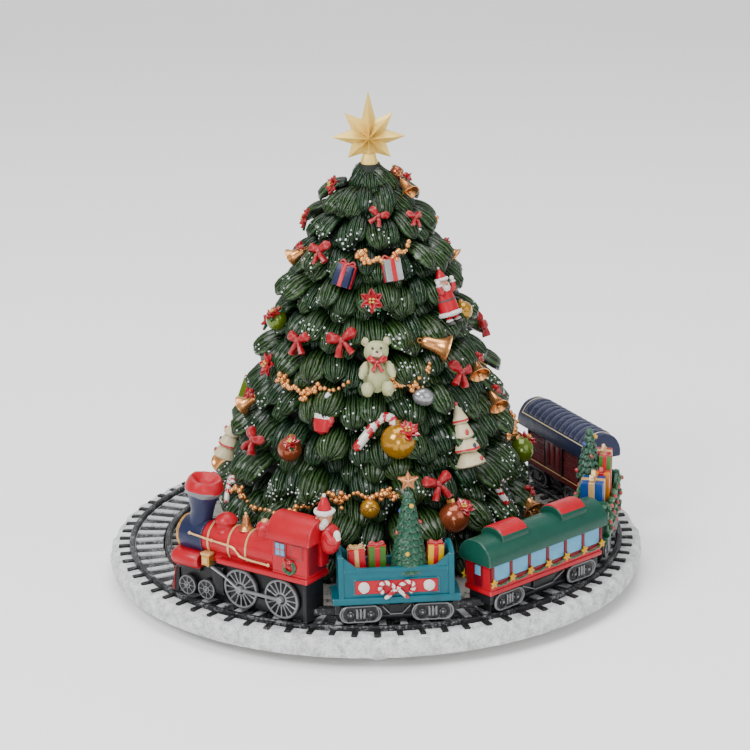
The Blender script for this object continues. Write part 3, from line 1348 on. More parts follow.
def calm_face(radius: float, hat: Paint, beard: bool) -> Shape:
    """Return a small plain head facing -Y, with level eyes, a short nose and a closed mouth.

    Args:
        radius: radius of the head.
        hat: paint of the pointed hat.
        beard: whether the head has a white beard.

    Returns:
        The head about its middle.
    """
    r = radius
    head = orb(0.86 * r, 0.86 * r, r, Paint.SKIN, 16, 12)
    head.take(orb(0.13 * r, 0.17 * r, 0.17 * r, Paint.SKIN, 8, 6), at(y=-0.86 * r, z=-0.06 * r))
    for side in (-1, 1):
        head.take(orb(0.09 * r, 0.07 * r, 0.09 * r, Paint.BLACK, 8, 6),
                  at(side * 0.32 * r, -0.78 * r, 0.12 * r))
        head.take(tube([(side * 0.18 * r, -0.84 * r, 0.30 * r), (side * 0.46 * r, -0.74 * r, 0.30 * r)],
                       0.06 * r,
                       Paint.WHITE, 6))
    head.take(tube([(-0.16 * r, -0.82 * r, -0.36 * r), (0.16 * r, -0.82 * r, -0.36 * r)], 0.04 * r,
                   Paint.RIBBON_RED, 6))
    if beard:
        head.take(orb(0.84 * r, 0.55 * r, 0.62 * r, Paint.WHITE, 14, 9).lumped(0.16 * r, 0.3 * r),
                  at(y=-0.42 * r, z=-0.82 * r))
        for side in (-1, 1):
            head.take(orb(0.28 * r, 0.4 * r, 0.5 * r, Paint.WHITE, 10, 7),
                      at(side * 0.72 * r, -0.25 * r, -0.4 * r))
    rim = [(0.88 * r * math.cos(a), 0.88 * r * math.sin(a), 0.62 * r) for a in
           (2 * math.pi * i / 16 for i in range(16))]
    head.take(tube(rim, 0.24 * r, Paint.WHITE, 8, closed=True).lumped(0.1 * r, 0.35 * r))
    cap = [(0.86 * r, 0.55 * r), (0.78 * r, 0.95 * r), (0.52 * r, 1.55 * r), (0.20 * r, 2.15 * r),
           (0, 2.3 * r)]
    head.take(lathe([(0, 0.5 * r)] + cap, hat, 14).lumped(0.12 * r, 0.6 * r))
    head.take(orb(0.22 * r, 0.22 * r, 0.22 * r, Paint.WHITE, 8, 6), at(z=2.35 * r))
    return head


@dataclass
class Ornaments:
    """Everything hung on the tree."""

    shop: Shop
    balls: list[tuple[float, float, float]] = field(default_factory=lambda: [
        (-160, 89, 3.6), (-80, 58, 5.6), (-127, 53.5, 4.0), (-22, 91, 3.1), (-5, 41, 4.4), (-61, 33, 5.0),
        (-92, 38, 3.1), (16, 133, 2.3), (-66, 70, 2.9), (35, 62, 4.4), (62, 92, 3.6), (78, 40, 5.0),
        (112, 68, 4.2), (140, 96, 3.4), (150, 44, 4.8), (100, 112, 2.8)])
    bells: list[tuple[float, float, float]] = field(default_factory=lambda: [
        (-163, 62, 6.5), (-56, 85, 9.0), (-29, 74, 6.5), (-21, 62, 6.5), (-18, 27, 7.5), (-160, 110, 6.0),
        (-17, 130, 6.0), (50, 78, 7.0), (93, 57, 7.5), (130, 80, 7.0), (20, 105, 6.0), (165, 33, 7.5)])
    bows: list[tuple[float, float, float]] = field(default_factory=lambda: [
        (-106, 88, 9.0), (-147, 53, 8.5), (-44, 75, 8.5), (-66, 44, 9.0), (-132, 113, 7.5), (-43, 122, 5.5),
        (-82, 124, 6.0), (-131.7, 86, 8.0), (15, 80, 8.0), (75, 66, 9.0), (120, 40, 9.0), (145, 64, 8.5),
        (90, 100, 7.0), (30, 40, 9.0)])
    blooms: list[tuple[float, float, float]] = field(default_factory=lambda: [
        (-90, 100, 8.0), (-152, 76, 8.5), (179, 119, 7.0), (-162, 131, 6.5), (55, 50, 8.5), (100, 82, 8.0),
        (160, 82, 8.0), (40, 100, 7.5), (125, 118, 6.0)])
    canes: list[tuple[float, float, float]] = field(default_factory=lambda: [
        (-92, 61, 16.0), (-36, 35, 10.0), (-161, 33, 9.0), (10, 56, 11.0), (85, 80, 10.0), (135, 52, 12.0)])
    gifts: list[tuple[float, float, float]] = field(default_factory=lambda: [
        (-111, 106.5, 7.0), (-74, 108, 7.0), (68, 108, 6.5), (172, 60, 7.5)])
    stacks: list[tuple[float, float, float]] = field(default_factory=lambda: [
        (177, 46, 17.0), (-49, 56, 20.0), (105, 27, 17.0)])
    garlands: tuple[tuple[tuple[float, float], ...], ...] = (
        ((-154, 36), (-127, 33), (-109, 41), (-92, 42), (-76, 43)), ((-140, 74), (-126, 71), (-102, 75)),
        ((-82, 77), (-72, 74), (-60, 79)), ((-100, 113), (-80, 111), (-56, 115)),
        ((-20, 50), (8, 47), (36, 51)), ((60, 82), (85, 76), (112, 84)), ((110, 50), (140, 45), (170, 50)),
        ((20, 116), (60, 112), (100, 117)))
    cane_lean: float = 38.0

    def baubles(self) -> None:
        """Make the glass balls: gold, copper and green, the larger ones under a poinsettia."""
        coats = [Paint.GLASS_GREEN, Paint.GLASS_GOLD, Paint.GLASS_COPPER, Paint.GLASS_GOLD, Paint.GLASS_GREEN,
                 Paint.GLASS_COPPER, Paint.GLASS_GOLD, Paint.GLASS_COPPER]
        whole = Shape()
        for i, (azimuth, height, r) in enumerate(self.balls):
            oval = (azimuth, height) == (-66, 70)
            coat = Paint.SILVER if oval else coats[i % len(coats)]
            ball = orb(r * (1.25 if oval else 1.0), r * 0.95, r, coat, 22, 14)
            if oval:
                ball = ball.moved(at(ry=25))
            ball.take(lathe([(0, r * 0.90), (r * 0.30, r * 0.92), (r * 0.28, r * 1.18), (0, r * 1.22)],
                            Paint.GOLD, 10, lambda a: 1 + 0.08 * math.cos(6 * a)))
            if r >= 3.5:
                ball.take(bloom(r * 1.55), at(r * 0.45, -r * 0.62, r * 0.52, rx=-38))
            elif not oval:
                ring = [(r * 1.005 * math.cos(a), r * 0.96 * math.sin(a), 0.18 * r * math.cos(5 * a)) for a in
                        (2 * math.pi * k / 40 for k in range(40))]
                ball.take(tube(ring, 0.16, Paint.GOLD, 5, closed=True))
            whole.take(ball, on_tree(azimuth, height, r * 0.35 + 0.5))
        self.shop.piece("glass_baubles", whole, "base", GLASSY, ["ball_ornaments"], "bauble")

    def bell_set(self) -> None:
        """Make the copper bells, each with a small red bow at its crown."""
        metal, cloth = Shape(), Shape()
        for azimuth, height, size in self.bells:
            place = on_tree(azimuth, height, size * 0.22 + 0.8) @ at(ry=-58 if azimuth == -56 else 35, rx=-24)
            metal.take(hanging_bell(size), place)
            if size < 9:
                cloth.take(ribbon_bow(size * 0.55), place @ at(y=-0.24 * size, z=0.42 * size))
        self.shop.piece("copper_bells", metal, "base", BELL_COPPER, ["bell_ornaments"], "bell_metal")
        self.shop.piece("bell_bows", cloth, "base", ENAMEL, (), "ribbon")

    def ribbons(self) -> None:
        """Make the bows and the poinsettias."""
        tied, flowers = Shape(), Shape()
        for i, (azimuth, height, size) in enumerate(self.bows):
            tied.take(ribbon_bow(size * 1.12),
                      on_tree(azimuth, height, 2.6) @ at(ry=(-18, 14, 26, -8)[i % 4]))
        for i, (azimuth, height, size) in enumerate(self.blooms):
            flowers.take(bloom(size), on_tree(azimuth, height, 3.2) @ at(ry=17.0 * i))
        self.shop.piece("tied_bows", tied, "base", ENAMEL, ["ribbon_bows"], "ribbon")
        self.shop.piece("poinsettia_blooms", flowers, "base", ENAMEL, ["poinsettias"], "ribbon")

    def sweets(self) -> None:
        """Make the striped canes, each with a bow, and the hung parcels."""
        whole = Shape()
        for azimuth, height, size in self.canes:
            place = on_tree(azimuth, height, 1.6) @ at(ry=self.cane_lean if size > 12 else -24)
            whole.take(sugar_cane(size, size * 0.075 + 0.3), place)
        self.shop.piece("striped_canes", whole, "base", GLASSY, ["candy_canes"], "candy")
        parcels = Shape()
        for i, (azimuth, height, size) in enumerate(self.gifts):
            paper = (Paint.NAVY, Paint.SILVER, Paint.RIBBON_RED, Paint.GLASS_GREEN)[i]
            place = on_tree(azimuth, height, 1.0) @ at(z=-0.5 * size, ry=(12, -4, 6, -10)[i])
            parcels.take(tied_parcel(size * 0.8, size * 0.7, size, paper, (Paint.RED, Paint.RED, Paint.GOLD,
                                                                          Paint.RED)[i]), place)
        self.shop.piece("hung_parcels", parcels, "base", ENAMEL, ["gift_ornaments"], "toy")
        firs = Shape()
        for azimuth, height, size in self.stacks:
            firs.take(stacked_fir(size), on_tree(azimuth, height, 1.8))
        self.shop.piece("snowy_firs", firs, "base", ENAMEL, ["stacked_tree_ornaments"], "cream")

    def bear(self) -> None:
        """Make the seated toy bear with a red bow at its neck."""
        fur = Paint.BEAR
        whole = orb(4.3, 3.4, 5.2, fur, 18, 12).moved(at(z=-2.5))
        whole.take(orb(3.9, 3.2, 3.5, fur, 18, 12), at(0, -0.6, 5.2))
        whole.take(orb(1.7, 1.3, 1.3, Paint.CREAM, 12, 8), at(0, -3.6, 4.3))
        for side in (-1, 1):
            whole.take(orb(1.5, 1.0, 1.5, fur, 12, 8), at(side * 3.1, 0, 8.2))
            whole.take(orb(0.8, 0.5, 0.8, Paint.CREAM, 10, 6), at(side * 3.1, -0.7, 8.2))
            whole.take(orb(1.4, 1.5, 3.2, fur, 12, 9), at(side * 4.1, -2.4, -0.6, rx=-28, ry=-side * 18))
            whole.take(orb(2.0, 2.4, 2.4, fur, 14, 9), at(side * 3.2, -2.8, -6.6))
        whole = whole.lumped(0.55, 0.85, 2.0)
        for side in (-1, 1):
            whole.take(orb(0.45, 0.35, 0.45, Paint.BLACK, 8, 6), at(side * 1.35, -3.75, 6.0))
        whole.take(orb(0.6, 0.4, 0.42, Paint.BLACK, 8, 6), at(0, -4.9, 4.8))
        whole.take(ribbon_bow(6.2, Paint.RED), at(0, -2.9, 1.6))
        self.shop.piece("toy_bear", whole.moved(on_tree(-88, 80, 2.4)), "base", ENAMEL, ["bear_ornament"],
                        "cream")

    def climber(self) -> None:
        """Make the small climbing figure in a red coat with white trims."""
        coat = lathe([(0, -6.4), (3.5, -6.2), (3.7, -4.6), (3.3, -2.0), (2.7, 0.8), (1.9, 2.4), (0, 2.9)],
                     Paint.RED, 18).lumped(0.25, 2.0)
        hem = [(3.6 * math.cos(a), 2.9 * math.sin(a), -6.0)
               for a in (2 * math.pi * i / 18 for i in range(18))]
        coat.points = [(x, y * 0.78, z) for x, y, z in coat.points]
        coat.take(tube(hem, 0.75, Paint.WHITE, 8, closed=True).lumped(0.25, 0.8))
        belt = [(2.95 * math.cos(a), 2.3 * math.sin(a), -1.6)
                for a in (2 * math.pi * i / 18 for i in range(18))]
        coat.take(tube(belt, 0.42, Paint.BLACK, 6, closed=True))
        coat.take(calm_face(2.1, Paint.RED, True), at(0, -0.4, 3.9))
        for side in (-1, 1):
            arm = smooth_path([(side * 1.8, -0.6, 1.2), (side * 3.2, -1.4, 1.4), (side * 3.6, -1.6, 3.4)], 4)
            coat.take(tube(arm, 0.95, Paint.RED, 8))
            coat.take(orb(1.05, 1.05, 0.5, Paint.WHITE, 10, 6), at(side * 3.6, -1.6, 3.5))
            coat.take(orb(0.8, 0.8, 0.9, Paint.WHITE, 10, 6), at(side * 3.6, -1.6, 4.5))
            coat.take(tube([(side * 1.4, 0, -6.2), (side * 2.0, -0.6, -8.2)], 1.0, Paint.RED, 8))
            coat.take(orb(1.25, 1.35, 0.6, Paint.WHITE, 10, 6), at(side * 2.0, -0.6, -8.1))
            coat.take(orb(1.1, 1.6, 0.8, Paint.BLACK, 10, 6), at(side * 2.1, -0.9, -9.0))
        self.shop.piece("coated_figure", coat.moved(on_tree(-38, 98, 2.2)), "base", ENAMEL,
                        ["figure_ornament"],
                        "figure")

    def mitten(self) -> None:
        """Make the knitted mitten with red and white bands and a dark cuff."""
        bands = [Paint.NAVY, Paint.NAVY, Paint.WHITE, Paint.RED, Paint.WHITE, Paint.RED, Paint.RED, Paint.RED]
        hand = lathe([(0, 3.2), (2.3, 3.0), (2.4, 1.6), (2.3, 1.0), (2.7, 0.0), (2.9, -1.6), (2.9, -3.4),
                      (2.3, -5.6), (0, -6.6)][::-1], bands[::-1], 16)
        hand.points = [(x, y * 0.62, z) for x, y, z in hand.points]
        hand.take(orb(1.1, 1.0, 2.0, Paint.RED, 10, 8), at(2.7, 0, -2.4, ry=20))
        hand.take(tube(smooth_path([(0, 0, 3.0), (0.4, 0, 5.0), (1.4, 0, 6.6)], 4), 0.8, Paint.WHITE, 8))
        self.shop.piece("knitted_mitten", hand.lumped(0.2, 1.0).moved(on_tree(-112.5, 66, 3.2)), "base",
                        ENAMEL,
                        ["mitten_ornament"], "toy")

    def beads(self) -> None:
        """Lay strings of beads along the boughs, a lumpy cluster here and there."""
        spots = []
        chance = np.random.default_rng(7)
        for route in self.garlands:
            knots = [Vector((a, z, 0.0)) for a, z in route]
            line = smooth_path(knots, 11)
            for i, here in enumerate(line):
                sag = 0.8 * math.sin(i * 0.9)
                heap = 4 if (i // 4) % 3 == 0 else 1
                for k in range(heap):
                    a = math.radians(here.x + chance.normal(0, 0.5 if heap > 1 else 0.15))
                    z = here.y + sag + chance.normal(0, 0.9 if heap > 1 else 0.12)
                    r = tree_radius(z) + 2.0 + 0.7 * k * chance.random()
                    grain = 0.8 + 0.5 * chance.random()
                    spots.append(Spot(Vector((r * math.cos(a), r * math.sin(a), z)), (0, 0, a), (grain,) * 3))
        bead = orb(0.85, 0.85, 0.85, Paint.COPPER, 8, 5)
        mesh = self.shop.repeated("bead_strings", bead, spots, BEAD_COPPER, 0.8, 0.15, 3)
        self.shop.piece("bead_strings", mesh, "base", BEAD_COPPER, ["bead_garland"], "bead_gold")

    def build(self) -> None:
        """Make every ornament."""
        self.baubles()
        self.bell_set()
        self.ribbons()
        self.sweets()
        self.bear()
        self.climber()
        self.mitten()
        self.beads()


# ---- train ---------------------------------------------------------------------------------------
def wheel(radius: float, spokes: int) -> Shape:
    """Return a wheel's face on the -Y side: tread, rim, hub rings and tapered spokes."""
    r = radius
    disc = lathe([(0, 0), (r, 0), (r, 0.55), (0.97 * r, 0.7), (0, 0.7)], Paint.BLACK, 36)
    rim = [(0.93 * r * math.cos(a), 0.93 * r * math.sin(a), 0.8)
           for a in (2 * math.pi * i / 36 for i in range(36))]
    disc.take(tube(rim, 0.045 * r + 0.08, Paint.PEWTER, 8, closed=True))
    hub = [(0.30 * r * math.cos(a), 0.30 * r * math.sin(a), 0.85)
           for a in (2 * math.pi * i / 20 for i in range(20))]
    disc.take(tube(hub, 0.045 * r + 0.06, Paint.PEWTER, 6, closed=True))
    disc.take(lathe([(0, 0.6), (0.17 * r, 0.7), (0.16 * r, 1.15), (0.08 * r, 1.35), (0, 1.38)], Paint.PEWTER,
                    16))
    for k in range(spokes):
        a = 2 * math.pi * k / spokes
        run = [(s * r * math.cos(a), s * r * math.sin(a), 0.78) for s in (0.30, 0.6, 0.9)]
        disc.take(tube(run, [0.045 * r, 0.032 * r, 0.045 * r], Paint.PEWTER, 6))
    return disc.moved(Matrix.Rotation(math.radians(90), 4, "X"))


def bogie(x: float) -> Shape:
    """Return the outer face of a bogie on the -Y side: oval frame, two wheels, axle boxes and springs."""
    z = 15.1
    whole = Shape()
    for step in (-3.1, 3.1):
        whole.take(wheel(2.7, 0), at(x + step, -4.0, z))
        whole.take(brick((x + step - 0.8, x + step + 0.8), (-5.45, -4.4), (z - 0.7, z + 0.8), Paint.IRON,
                         0.2))
        whole.take(orb(0.42, 0.3, 0.42, Paint.PEWTER, 8, 6), at(x + step, -5.5, z))
    oval = [(x + math.copysign(3.7, math.cos(a)) + 2.55 * math.cos(a), -4.95, z + 0.1 + 2.55 * math.sin(a))
            for a in (2 * math.pi * (i + 0.5) / 28 for i in range(28))]
    whole.take(tube(oval, 0.28, Paint.PEWTER, 7, closed=True))
    whole.take(brick((x - 6.0, x + 6.0), (-5.1, -4.0), (17.0, 17.8), Paint.IRON, 0.2))
    whole.take(brick((x - 2.0, x + 2.0), (-5.2, -3.4), (13.2, 14.0), Paint.IRON, 0.25))
    for k in range(3):
        whole.take(tube([(x - 1.1 + 1.1 * k, -5.1, 14.0), (x - 1.1 + 1.1 * k, -5.1, 17.0)], 0.34,
                        Paint.PEWTER, 7))
    return whole


def underframe(length: float, bogie_x: float) -> Shape:
    """Return a wagon's black underframe with its bogies on both sides."""
    half = length / 2
    beam = brick((-half, half), (-3.5, 3.5), (12.4, 18.6), Paint.BLACK, 0.4)
    for step in (-1, 1):
        beam.take(brick((step * half - 0.9, step * half + 0.9), (-4.6, 4.6), (15.2, 18.5), Paint.IRON, 0.3))
    side = bogie(bogie_x).take(bogie(-bogie_x))
    gap = bogie_x - 6.6
    side.take(brick((-gap, gap), (-4.0, -3.3), (13.4, 14.3), Paint.IRON, 0.2))
    side.take(tube([(-gap, -3.9, 17.2), (-gap * 0.4, -4.0, 14.6), (gap * 0.4, -4.0, 14.6), (gap, -3.9, 17.2)],
                   0.22,
                   Paint.PEWTER, 6))
    side.take(brick((-gap * 0.5, gap * 0.5), (-4.3, -3.3), (14.9, 17.6), Paint.BLACK, 0.3))
    return beam.take(side.mirrored()).lumped(0.12, 1.6, length)


def arched_shell(x0: float, x1: float, half: float, height: float, z0: float, paint: Paint,
                 skirt: float = 1.2, rounding: float = 0.45) -> Shape:
    """Return an arched roof between two ends."""
    outline = [(y, z0 + z) for y, z in arch_outline(half, height, 18, skirt)]
    return girder(outline, x0, x1, paint, rounding, 3)


@dataclass
class Vehicle:
    """What every vehicle has: a spot on the track and a way to place its pieces."""

    shop: Shop
    spot: TrackSpot

    def placed(self, name: str, shape: Shape, finish: Finish, stands_for: Sequence[str], slot: str,
               smooth: float = 40.0) -> None:
        """Finish a piece of the vehicle on the train."""
        self.shop.piece(name, shape.moved(self.spot.place()), "train", finish, stands_for, slot, smooth)


@dataclass
class Locomotive(Vehicle):
    """The red engine: wheels in relief, boiler, navy smokebox and flared stack, cab and brightwork."""

    spot: TrackSpot = TrackSpot(-125.0, 72.8)
    boiler_r: float = 5.2
    boiler_z: float = 31.6
    drivers: tuple[float, float] = (-18.9, -3.4)
    leading: tuple[float, float] = (10.2, 17.7)
    driver_r: float = 6.4
    lead_r: float = 3.2
    rail_z: float = 12.4

    def frame(self) -> None:
        """Make the black frame, the wheels, the rods and the pilot."""
        frame = brick((-27.6, 21.6), (-3.5, 3.5), (12.4, 25.8), Paint.BLACK, 0.4)
        frame.take(brick((-28.0, -26.6), (-4.6, 4.6), (12.6, 25.8), Paint.IRON, 0.3))
        side = brick((-14.5, -8.5), (-4.6, -3.3), (13.4, 17.0), Paint.IRON, 0.3)
        side.take(brick((3.6, 8.0), (-4.8, -3.3), (15.0, 24.0), Paint.BLACK, 0.4))
        frame.take(side.mirrored())
        self.placed("engine_frame", frame.lumped(0.15, 2.0), ENAMEL, ["loco_chassis"], "black_frame")
        side = Shape()
        for x in self.drivers:
            side.take(wheel(self.driver_r, 16), at(x, -4.3, self.rail_z + self.driver_r))
        for x in self.leading:
            side.take(wheel(self.lead_r, 8), at(x, -4.3, self.rail_z + self.lead_r))
        z = self.rail_z + self.driver_r
        y = -5.75
        rear, front = self.drivers
        side.take(brick((rear - 0.8, front + 0.8), (y - 0.35, y + 0.35), (z - 0.55, z + 0.45), Paint.PEWTER,
                        0.2))
        main = [(front, y - 0.1, z), (front + 5.4, y, z + 3.0), (front + 12.0, y + 0.4, 24.4)]
        side.take(tube(main, [0.62, 0.55, 0.8], Paint.PEWTER, 8, 0.55))
        for x in self.drivers:
            side.take(lathe([(0, 0), (1.1, 0.1), (1.0, 0.5), (0, 0.7)], Paint.PEWTER, 14).moved(at(rx=90)),
                      at(x, y - 0.2, z))
        self.placed("wheels_and_rods", side.mirrored().lumped(0.06, 1.2), ENAMEL, ["loco_running_gear"],
                    "wheel_silver")
        foot = [(27.2, -1.0), (27.2, 1.0), (23.4, 4.3), (21.8, 4.3), (21.8, -4.3), (23.4, -4.3)]
        head = [(23.9, -0.8), (23.9, 0.8), (23.0, 3.6), (21.8, 3.6), (21.8, -3.6), (23.0, -3.6)]
        pilot = rings([[(x, yy, 12.5) for x, yy in foot], [(x, yy, 20.4) for x, yy in head]], Paint.BLACK)
        for k in range(9):
            t = (k - 4) / 4.0
            low = Vector((27.5 - 3.9 * abs(t) ** 1.2, t * 4.3, 12.6))
            high = Vector((24.1 - 0.9 * abs(t), t * 3.6, 20.2))
            pilot.take(tube([low, low.lerp(high, 0.5) + Vector((0.1, 0, 0)), high], 0.34, Paint.DEEP_RED, 6))
        rim = [(27.5 - 3.9 * abs(t / 4) ** 1.2, t / 4 * 4.3, 12.75) for t in range(-4, 5)]
        pilot.take(tube(rim, 0.45, Paint.DEEP_RED, 6))
        self.placed("slatted_pilot", pilot, ENAMEL, ["cowcatcher"], "pilot_red")

    def boiler(self) -> None:
        """Make the boiler, running boards, cylinders and domes."""
        r, z = self.boiler_r, self.boiler_z
        barrel = lathe([(0, -16.0), (r, -16.0), (r, -4.0), (r, 4.0), (r, 11.5), (0, 11.5)], Paint.RED, 36)
        whole = barrel.moved(Matrix.Translation((0, 0, z)) @ Matrix.Rotation(math.pi / 2, 4, "Y"))
        whole.take(brick((-16.4, 11.4), (-3.8, 3.8), (25.8, 31.6), Paint.RED, 0.5))
        whole.take(brick((-29.2, 5.4), (-5.9, 5.9), (25.6, 27.3), Paint.RED, 0.45, 3))
        whole.take(brick((4.6, 22.2), (-4.4, 4.4), (25.4, 27.6), Paint.RED, 0.5, 3))
        side = lathe([(0, 11.9), (2.2, 12.0), (2.75, 12.7), (2.75, 21.3), (2.2, 22.1), (1.2, 22.3),
                      (0, 22.2)],
                     Paint.RED, 22).moved(at(0, -4.9, 24.8) @ Matrix.Rotation(math.pi / 2, 4, "Y"))
        side.take(brick((12.6, 21.8), (-5.6, -2.8), (25.6, 27.5), Paint.RED, 0.5))
        side.take(brick((12.8, 21.4), (-4.6, -3.2), (20.6, 23.2), Paint.BLACK, 0.4))
        whole.take(side.mirrored())
        whole.take(self.dome(3.5, 8.9, Paint.RED), at(5.3, 0, z))
        whole.take(self.dome(2.9, 9.4, Paint.RED), at(-9.8, 0, z))
        whole.take(orb(1.3, 1.3, 0.9, Paint.PALE_GOLD, 12, 8), at(-9.8, 0, z + 9.2))
        self.placed("boiler_and_boards", whole.lumped(0.16, 3.0), ENAMEL, ["loco_boiler"], "loco_red")

    def dome(self, r: float, top: float, paint: Paint) -> Shape:
        """Return a dome with a flared foot and a rolled lip."""
        outline = [(0, 2.8), (r * 1.18, 3.6), (r * 0.96, 4.7), (r * 0.94, top - r * 0.9),
                   (r * 1.04, top - r * 0.72),
                   (r * 0.98, top - r * 0.5), (r * 0.68, top - r * 0.18), (r * 0.3, top), (0, top + 0.05)]
        return lathe(outline, paint, 24)

    def smokebox(self) -> None:
        """Make the navy smokebox, its red door and the flared stack with a red dish."""
        z = self.boiler_z
        turn = Matrix.Translation((0, 0, z)) @ Matrix.Rotation(math.pi / 2, 4, "Y")
        box = lathe([(0, 11.4), (5.55, 11.4), (5.6, 12.0), (5.6, 19.8), (5.3, 20.4), (0, 20.4)], Paint.NAVY,
                    36)
        whole = box.moved(turn)
        whole.take(brick((11.6, 20.4), (-3.9, 3.9), (27.4, 31.0), Paint.NAVY, 0.5))
        bands = [Paint.RED, Paint.GOLD, Paint.GOLD, Paint.RED, Paint.RED, Paint.RED, Paint.GOLD, Paint.GOLD]
        door = lathe([(0, 20.0), (5.5, 20.2), (5.5, 21.0), (4.9, 21.5), (4.6, 21.6), (3.0, 22.3), (1.5, 22.7),
                      (1.3, 23.3), (0, 23.5)], bands, 32)
        whole.take(door.moved(turn))
        coats = [Paint.NAVY] * 6 + [Paint.PEWTER] * 2 + [Paint.RED] * 8
        flare = lathe([(0, 0), (4.3, 0), (4.0, 1.2), (3.5, 2.6), (3.7, 5.6), (4.3, 8.8), (5.1, 11.4),
                       (6.0, 12.7),
                       (6.1, 13.4), (5.6, 15.2), (4.9, 16.4), (3.9, 16.2), (2.8, 15.2), (1.4, 14.6),
                       (0, 14.6)],
                      coats, 30)
        whole.take(flare.lumped(0.55, 3.0, 3.0), at(15.6, 0, z + 2.6, ry=-9))
        self.placed("smokebox_and_stack", whole.lumped(0.12, 2.4), ENAMEL, ["loco_smokebox"], "navy")

    def cab(self) -> None:
        """Make the cab: walls, framed windows, arched overhanging roof and a small wreath on each side."""
        cab = brick((-29.0, -16.0), (-5.2, 5.2), (27.0, 39.2), Paint.RED, 0.4)
        cab.take(arched_shell(-30.8, -14.8, 6.5, 7.5, 38.2, Paint.RED, 0.9, 0.5))
        side = Shape()
        for x, glass in ((-19.3, Paint.PANE), (-25.4, Paint.RED)):
            side.take(brick((x - 2.3, x + 2.3), (-5.45, -4.9), (32.8, 38.0), Paint.RED, 0.25))
            side.take(brick((x - 1.8, x + 1.8), (-5.62, -5.3), (33.3, 37.4), glass, 0.12))
            bar = Paint.NAVY if glass is Paint.PANE else Paint.DEEP_RED
            if glass is Paint.PANE:
                side.take(brick((x - 0.16, x + 0.16), (-5.74, -5.4), (33.3, 37.4), Paint.RED, 0.05, 1))
                side.take(brick((x - 1.8, x + 1.8), (-5.74, -5.4), (35.2, 35.5), Paint.RED, 0.05, 1))
            edge = [(x - 1.85, -5.55, 33.25), (x + 1.85, -5.55, 33.25), (x + 1.85, -5.55, 37.45),
                    (x - 1.85, -5.55, 37.45)]
            side.take(tube([Vector(edge[i]).lerp(Vector(edge[(i + 1) % 4]), s) for i in range(4)
                            for s in (0.02, 0.5, 0.98)], 0.17, bar, 6, closed=True))
        leaves = [(2.0 * math.cos(a) - 22.4, -5.5, 2.0 * math.sin(a) + 30.2) for a in
                  (2 * math.pi * i / 18 for i in range(18))]
        side.take(tube(leaves, 0.55, Paint.LEAF, 8, closed=True).lumped(0.4, 0.7))
        side.take(ribbon_bow(3.4, Paint.RED), at(-22.4, -5.6, 31.9))
        side.take(brick((-28.6, -16.2), (-5.35, -5.0), (27.3, 28.1), Paint.RED, 0.2))
        cab.take(side.mirrored())
        cab.take(brick((-29.25, -28.8), (-4.3, 4.3), (28.2, 37.6), Paint.DEEP_RED, 0.2))
        self.placed("arched_cab", cab.lumped(0.12, 3.2), ENAMEL, ["loco_cab"], "loco_red", 32)

    def brightwork(self) -> None:
        """Make the gold bands, the handrails, the bell and the lanterns."""
        r, z = self.boiler_r, self.boiler_z
        gold = Shape()
        for x in (9.3, 1.4, -5.3):
            arc = [(x - 0.4 * math.cos(a), (r + 0.1) * math.cos(a), z + (r + 0.1) * math.sin(a)) for a in
                   (math.pi * (-0.22 + 1.44 * i / 26) for i in range(27))]
            gold.take(tube(arc, 0.36, Paint.PALE_GOLD, 6))
        side = tube(smooth_path([(15.6, -5.75, 33.6), (7.0, -5.55, 32.8), (-0.6, -5.5, 32.2),
                                 (-3.0, -5.6, 30.6),
                                 (-5.0, -5.7, 29.6), (-14.6, -5.7, 29.2)], 5), 0.34, Paint.PALE_GOLD, 7)
        for x, zz in ((15.6, 33.6), (7.0, 32.8), (-14.6, 29.2)):
            side.take(orb(0.6, 0.5, 0.6, Paint.PALE_GOLD, 8, 6), at(x, -5.6, zz))
        box = brick((7.2, 10.2), (-7.1, -4.4), (24.6, 28.2), Paint.GOLD, 0.3)
        box.take(brick((6.9, 10.5), (-7.2, -4.4), (27.9, 28.7), Paint.PALE_GOLD, 0.25))
        box.take(brick((7.8, 9.6), (-7.3, -6.9), (25.3, 27.3), Paint.PALE_GOLD, 0.15))
        box.take(lathe([(0, 0), (1.1, 0.1), (0.5, 0.9), (0, 1.2)], Paint.PALE_GOLD, 10),
                 at(8.7, -5.7, 24.7, rx=180))
        side.take(box)
        gold.take(side.mirrored())
        gold.take(hanging_bell(4.8), at(-2.4, 0, z + r + 2.2))
        gold.take(orb(0.5, 0.5, 0.6, Paint.PALE_GOLD, 8, 6), at(-2.4, 0, z + r + 5.0))
        self.placed("gold_fittings", gold.lumped(0.09, 0.9), ENAMEL, ["loco_brightwork"], "trim_gold")

    def driver(self) -> None:
        """Make the figure riding behind the cab in a red coat."""
        body = orb(3.3, 3.3, 5.0, Paint.RED, 16, 12).lumped(0.3, 2.5).moved(at(-32.4, -2.4, 39.0))
        body.take(brick((-30.4, -28.9), (-4.4, -0.4), (30.0, 40.0), Paint.RED, 0.3))
        body.take(calm_face(2.9, Paint.RED, True), at(-30.6, -2.2, 45.8, rz=150))
        sleeve = smooth_path([(-32.6, -0.4, 41.4), (-35.0, 0.6, 39.8), (-36.2, -0.4, 40.0)], 4)
        body.take(tube(sleeve, [1.5] * 8 + [1.25], Paint.RED, 9))
        body.take(orb(1.35, 1.35, 0.8, Paint.WHITE, 12, 7).lumped(0.15, 0.6), at(-36.3, -0.4, 40.4))
        body.take(orb(1.2, 1.0, 1.5, Paint.WHITE, 10, 8), at(-36.5, -0.3, 41.6))
        self.placed("riding_figure", body, ENAMEL, ["driver_figure"], "figure")

    def build(self) -> None:
        """Make the whole engine."""
        self.frame()
        self.boiler()
        self.smokebox()
        self.cab()
        self.brightwork()
        self.driver()


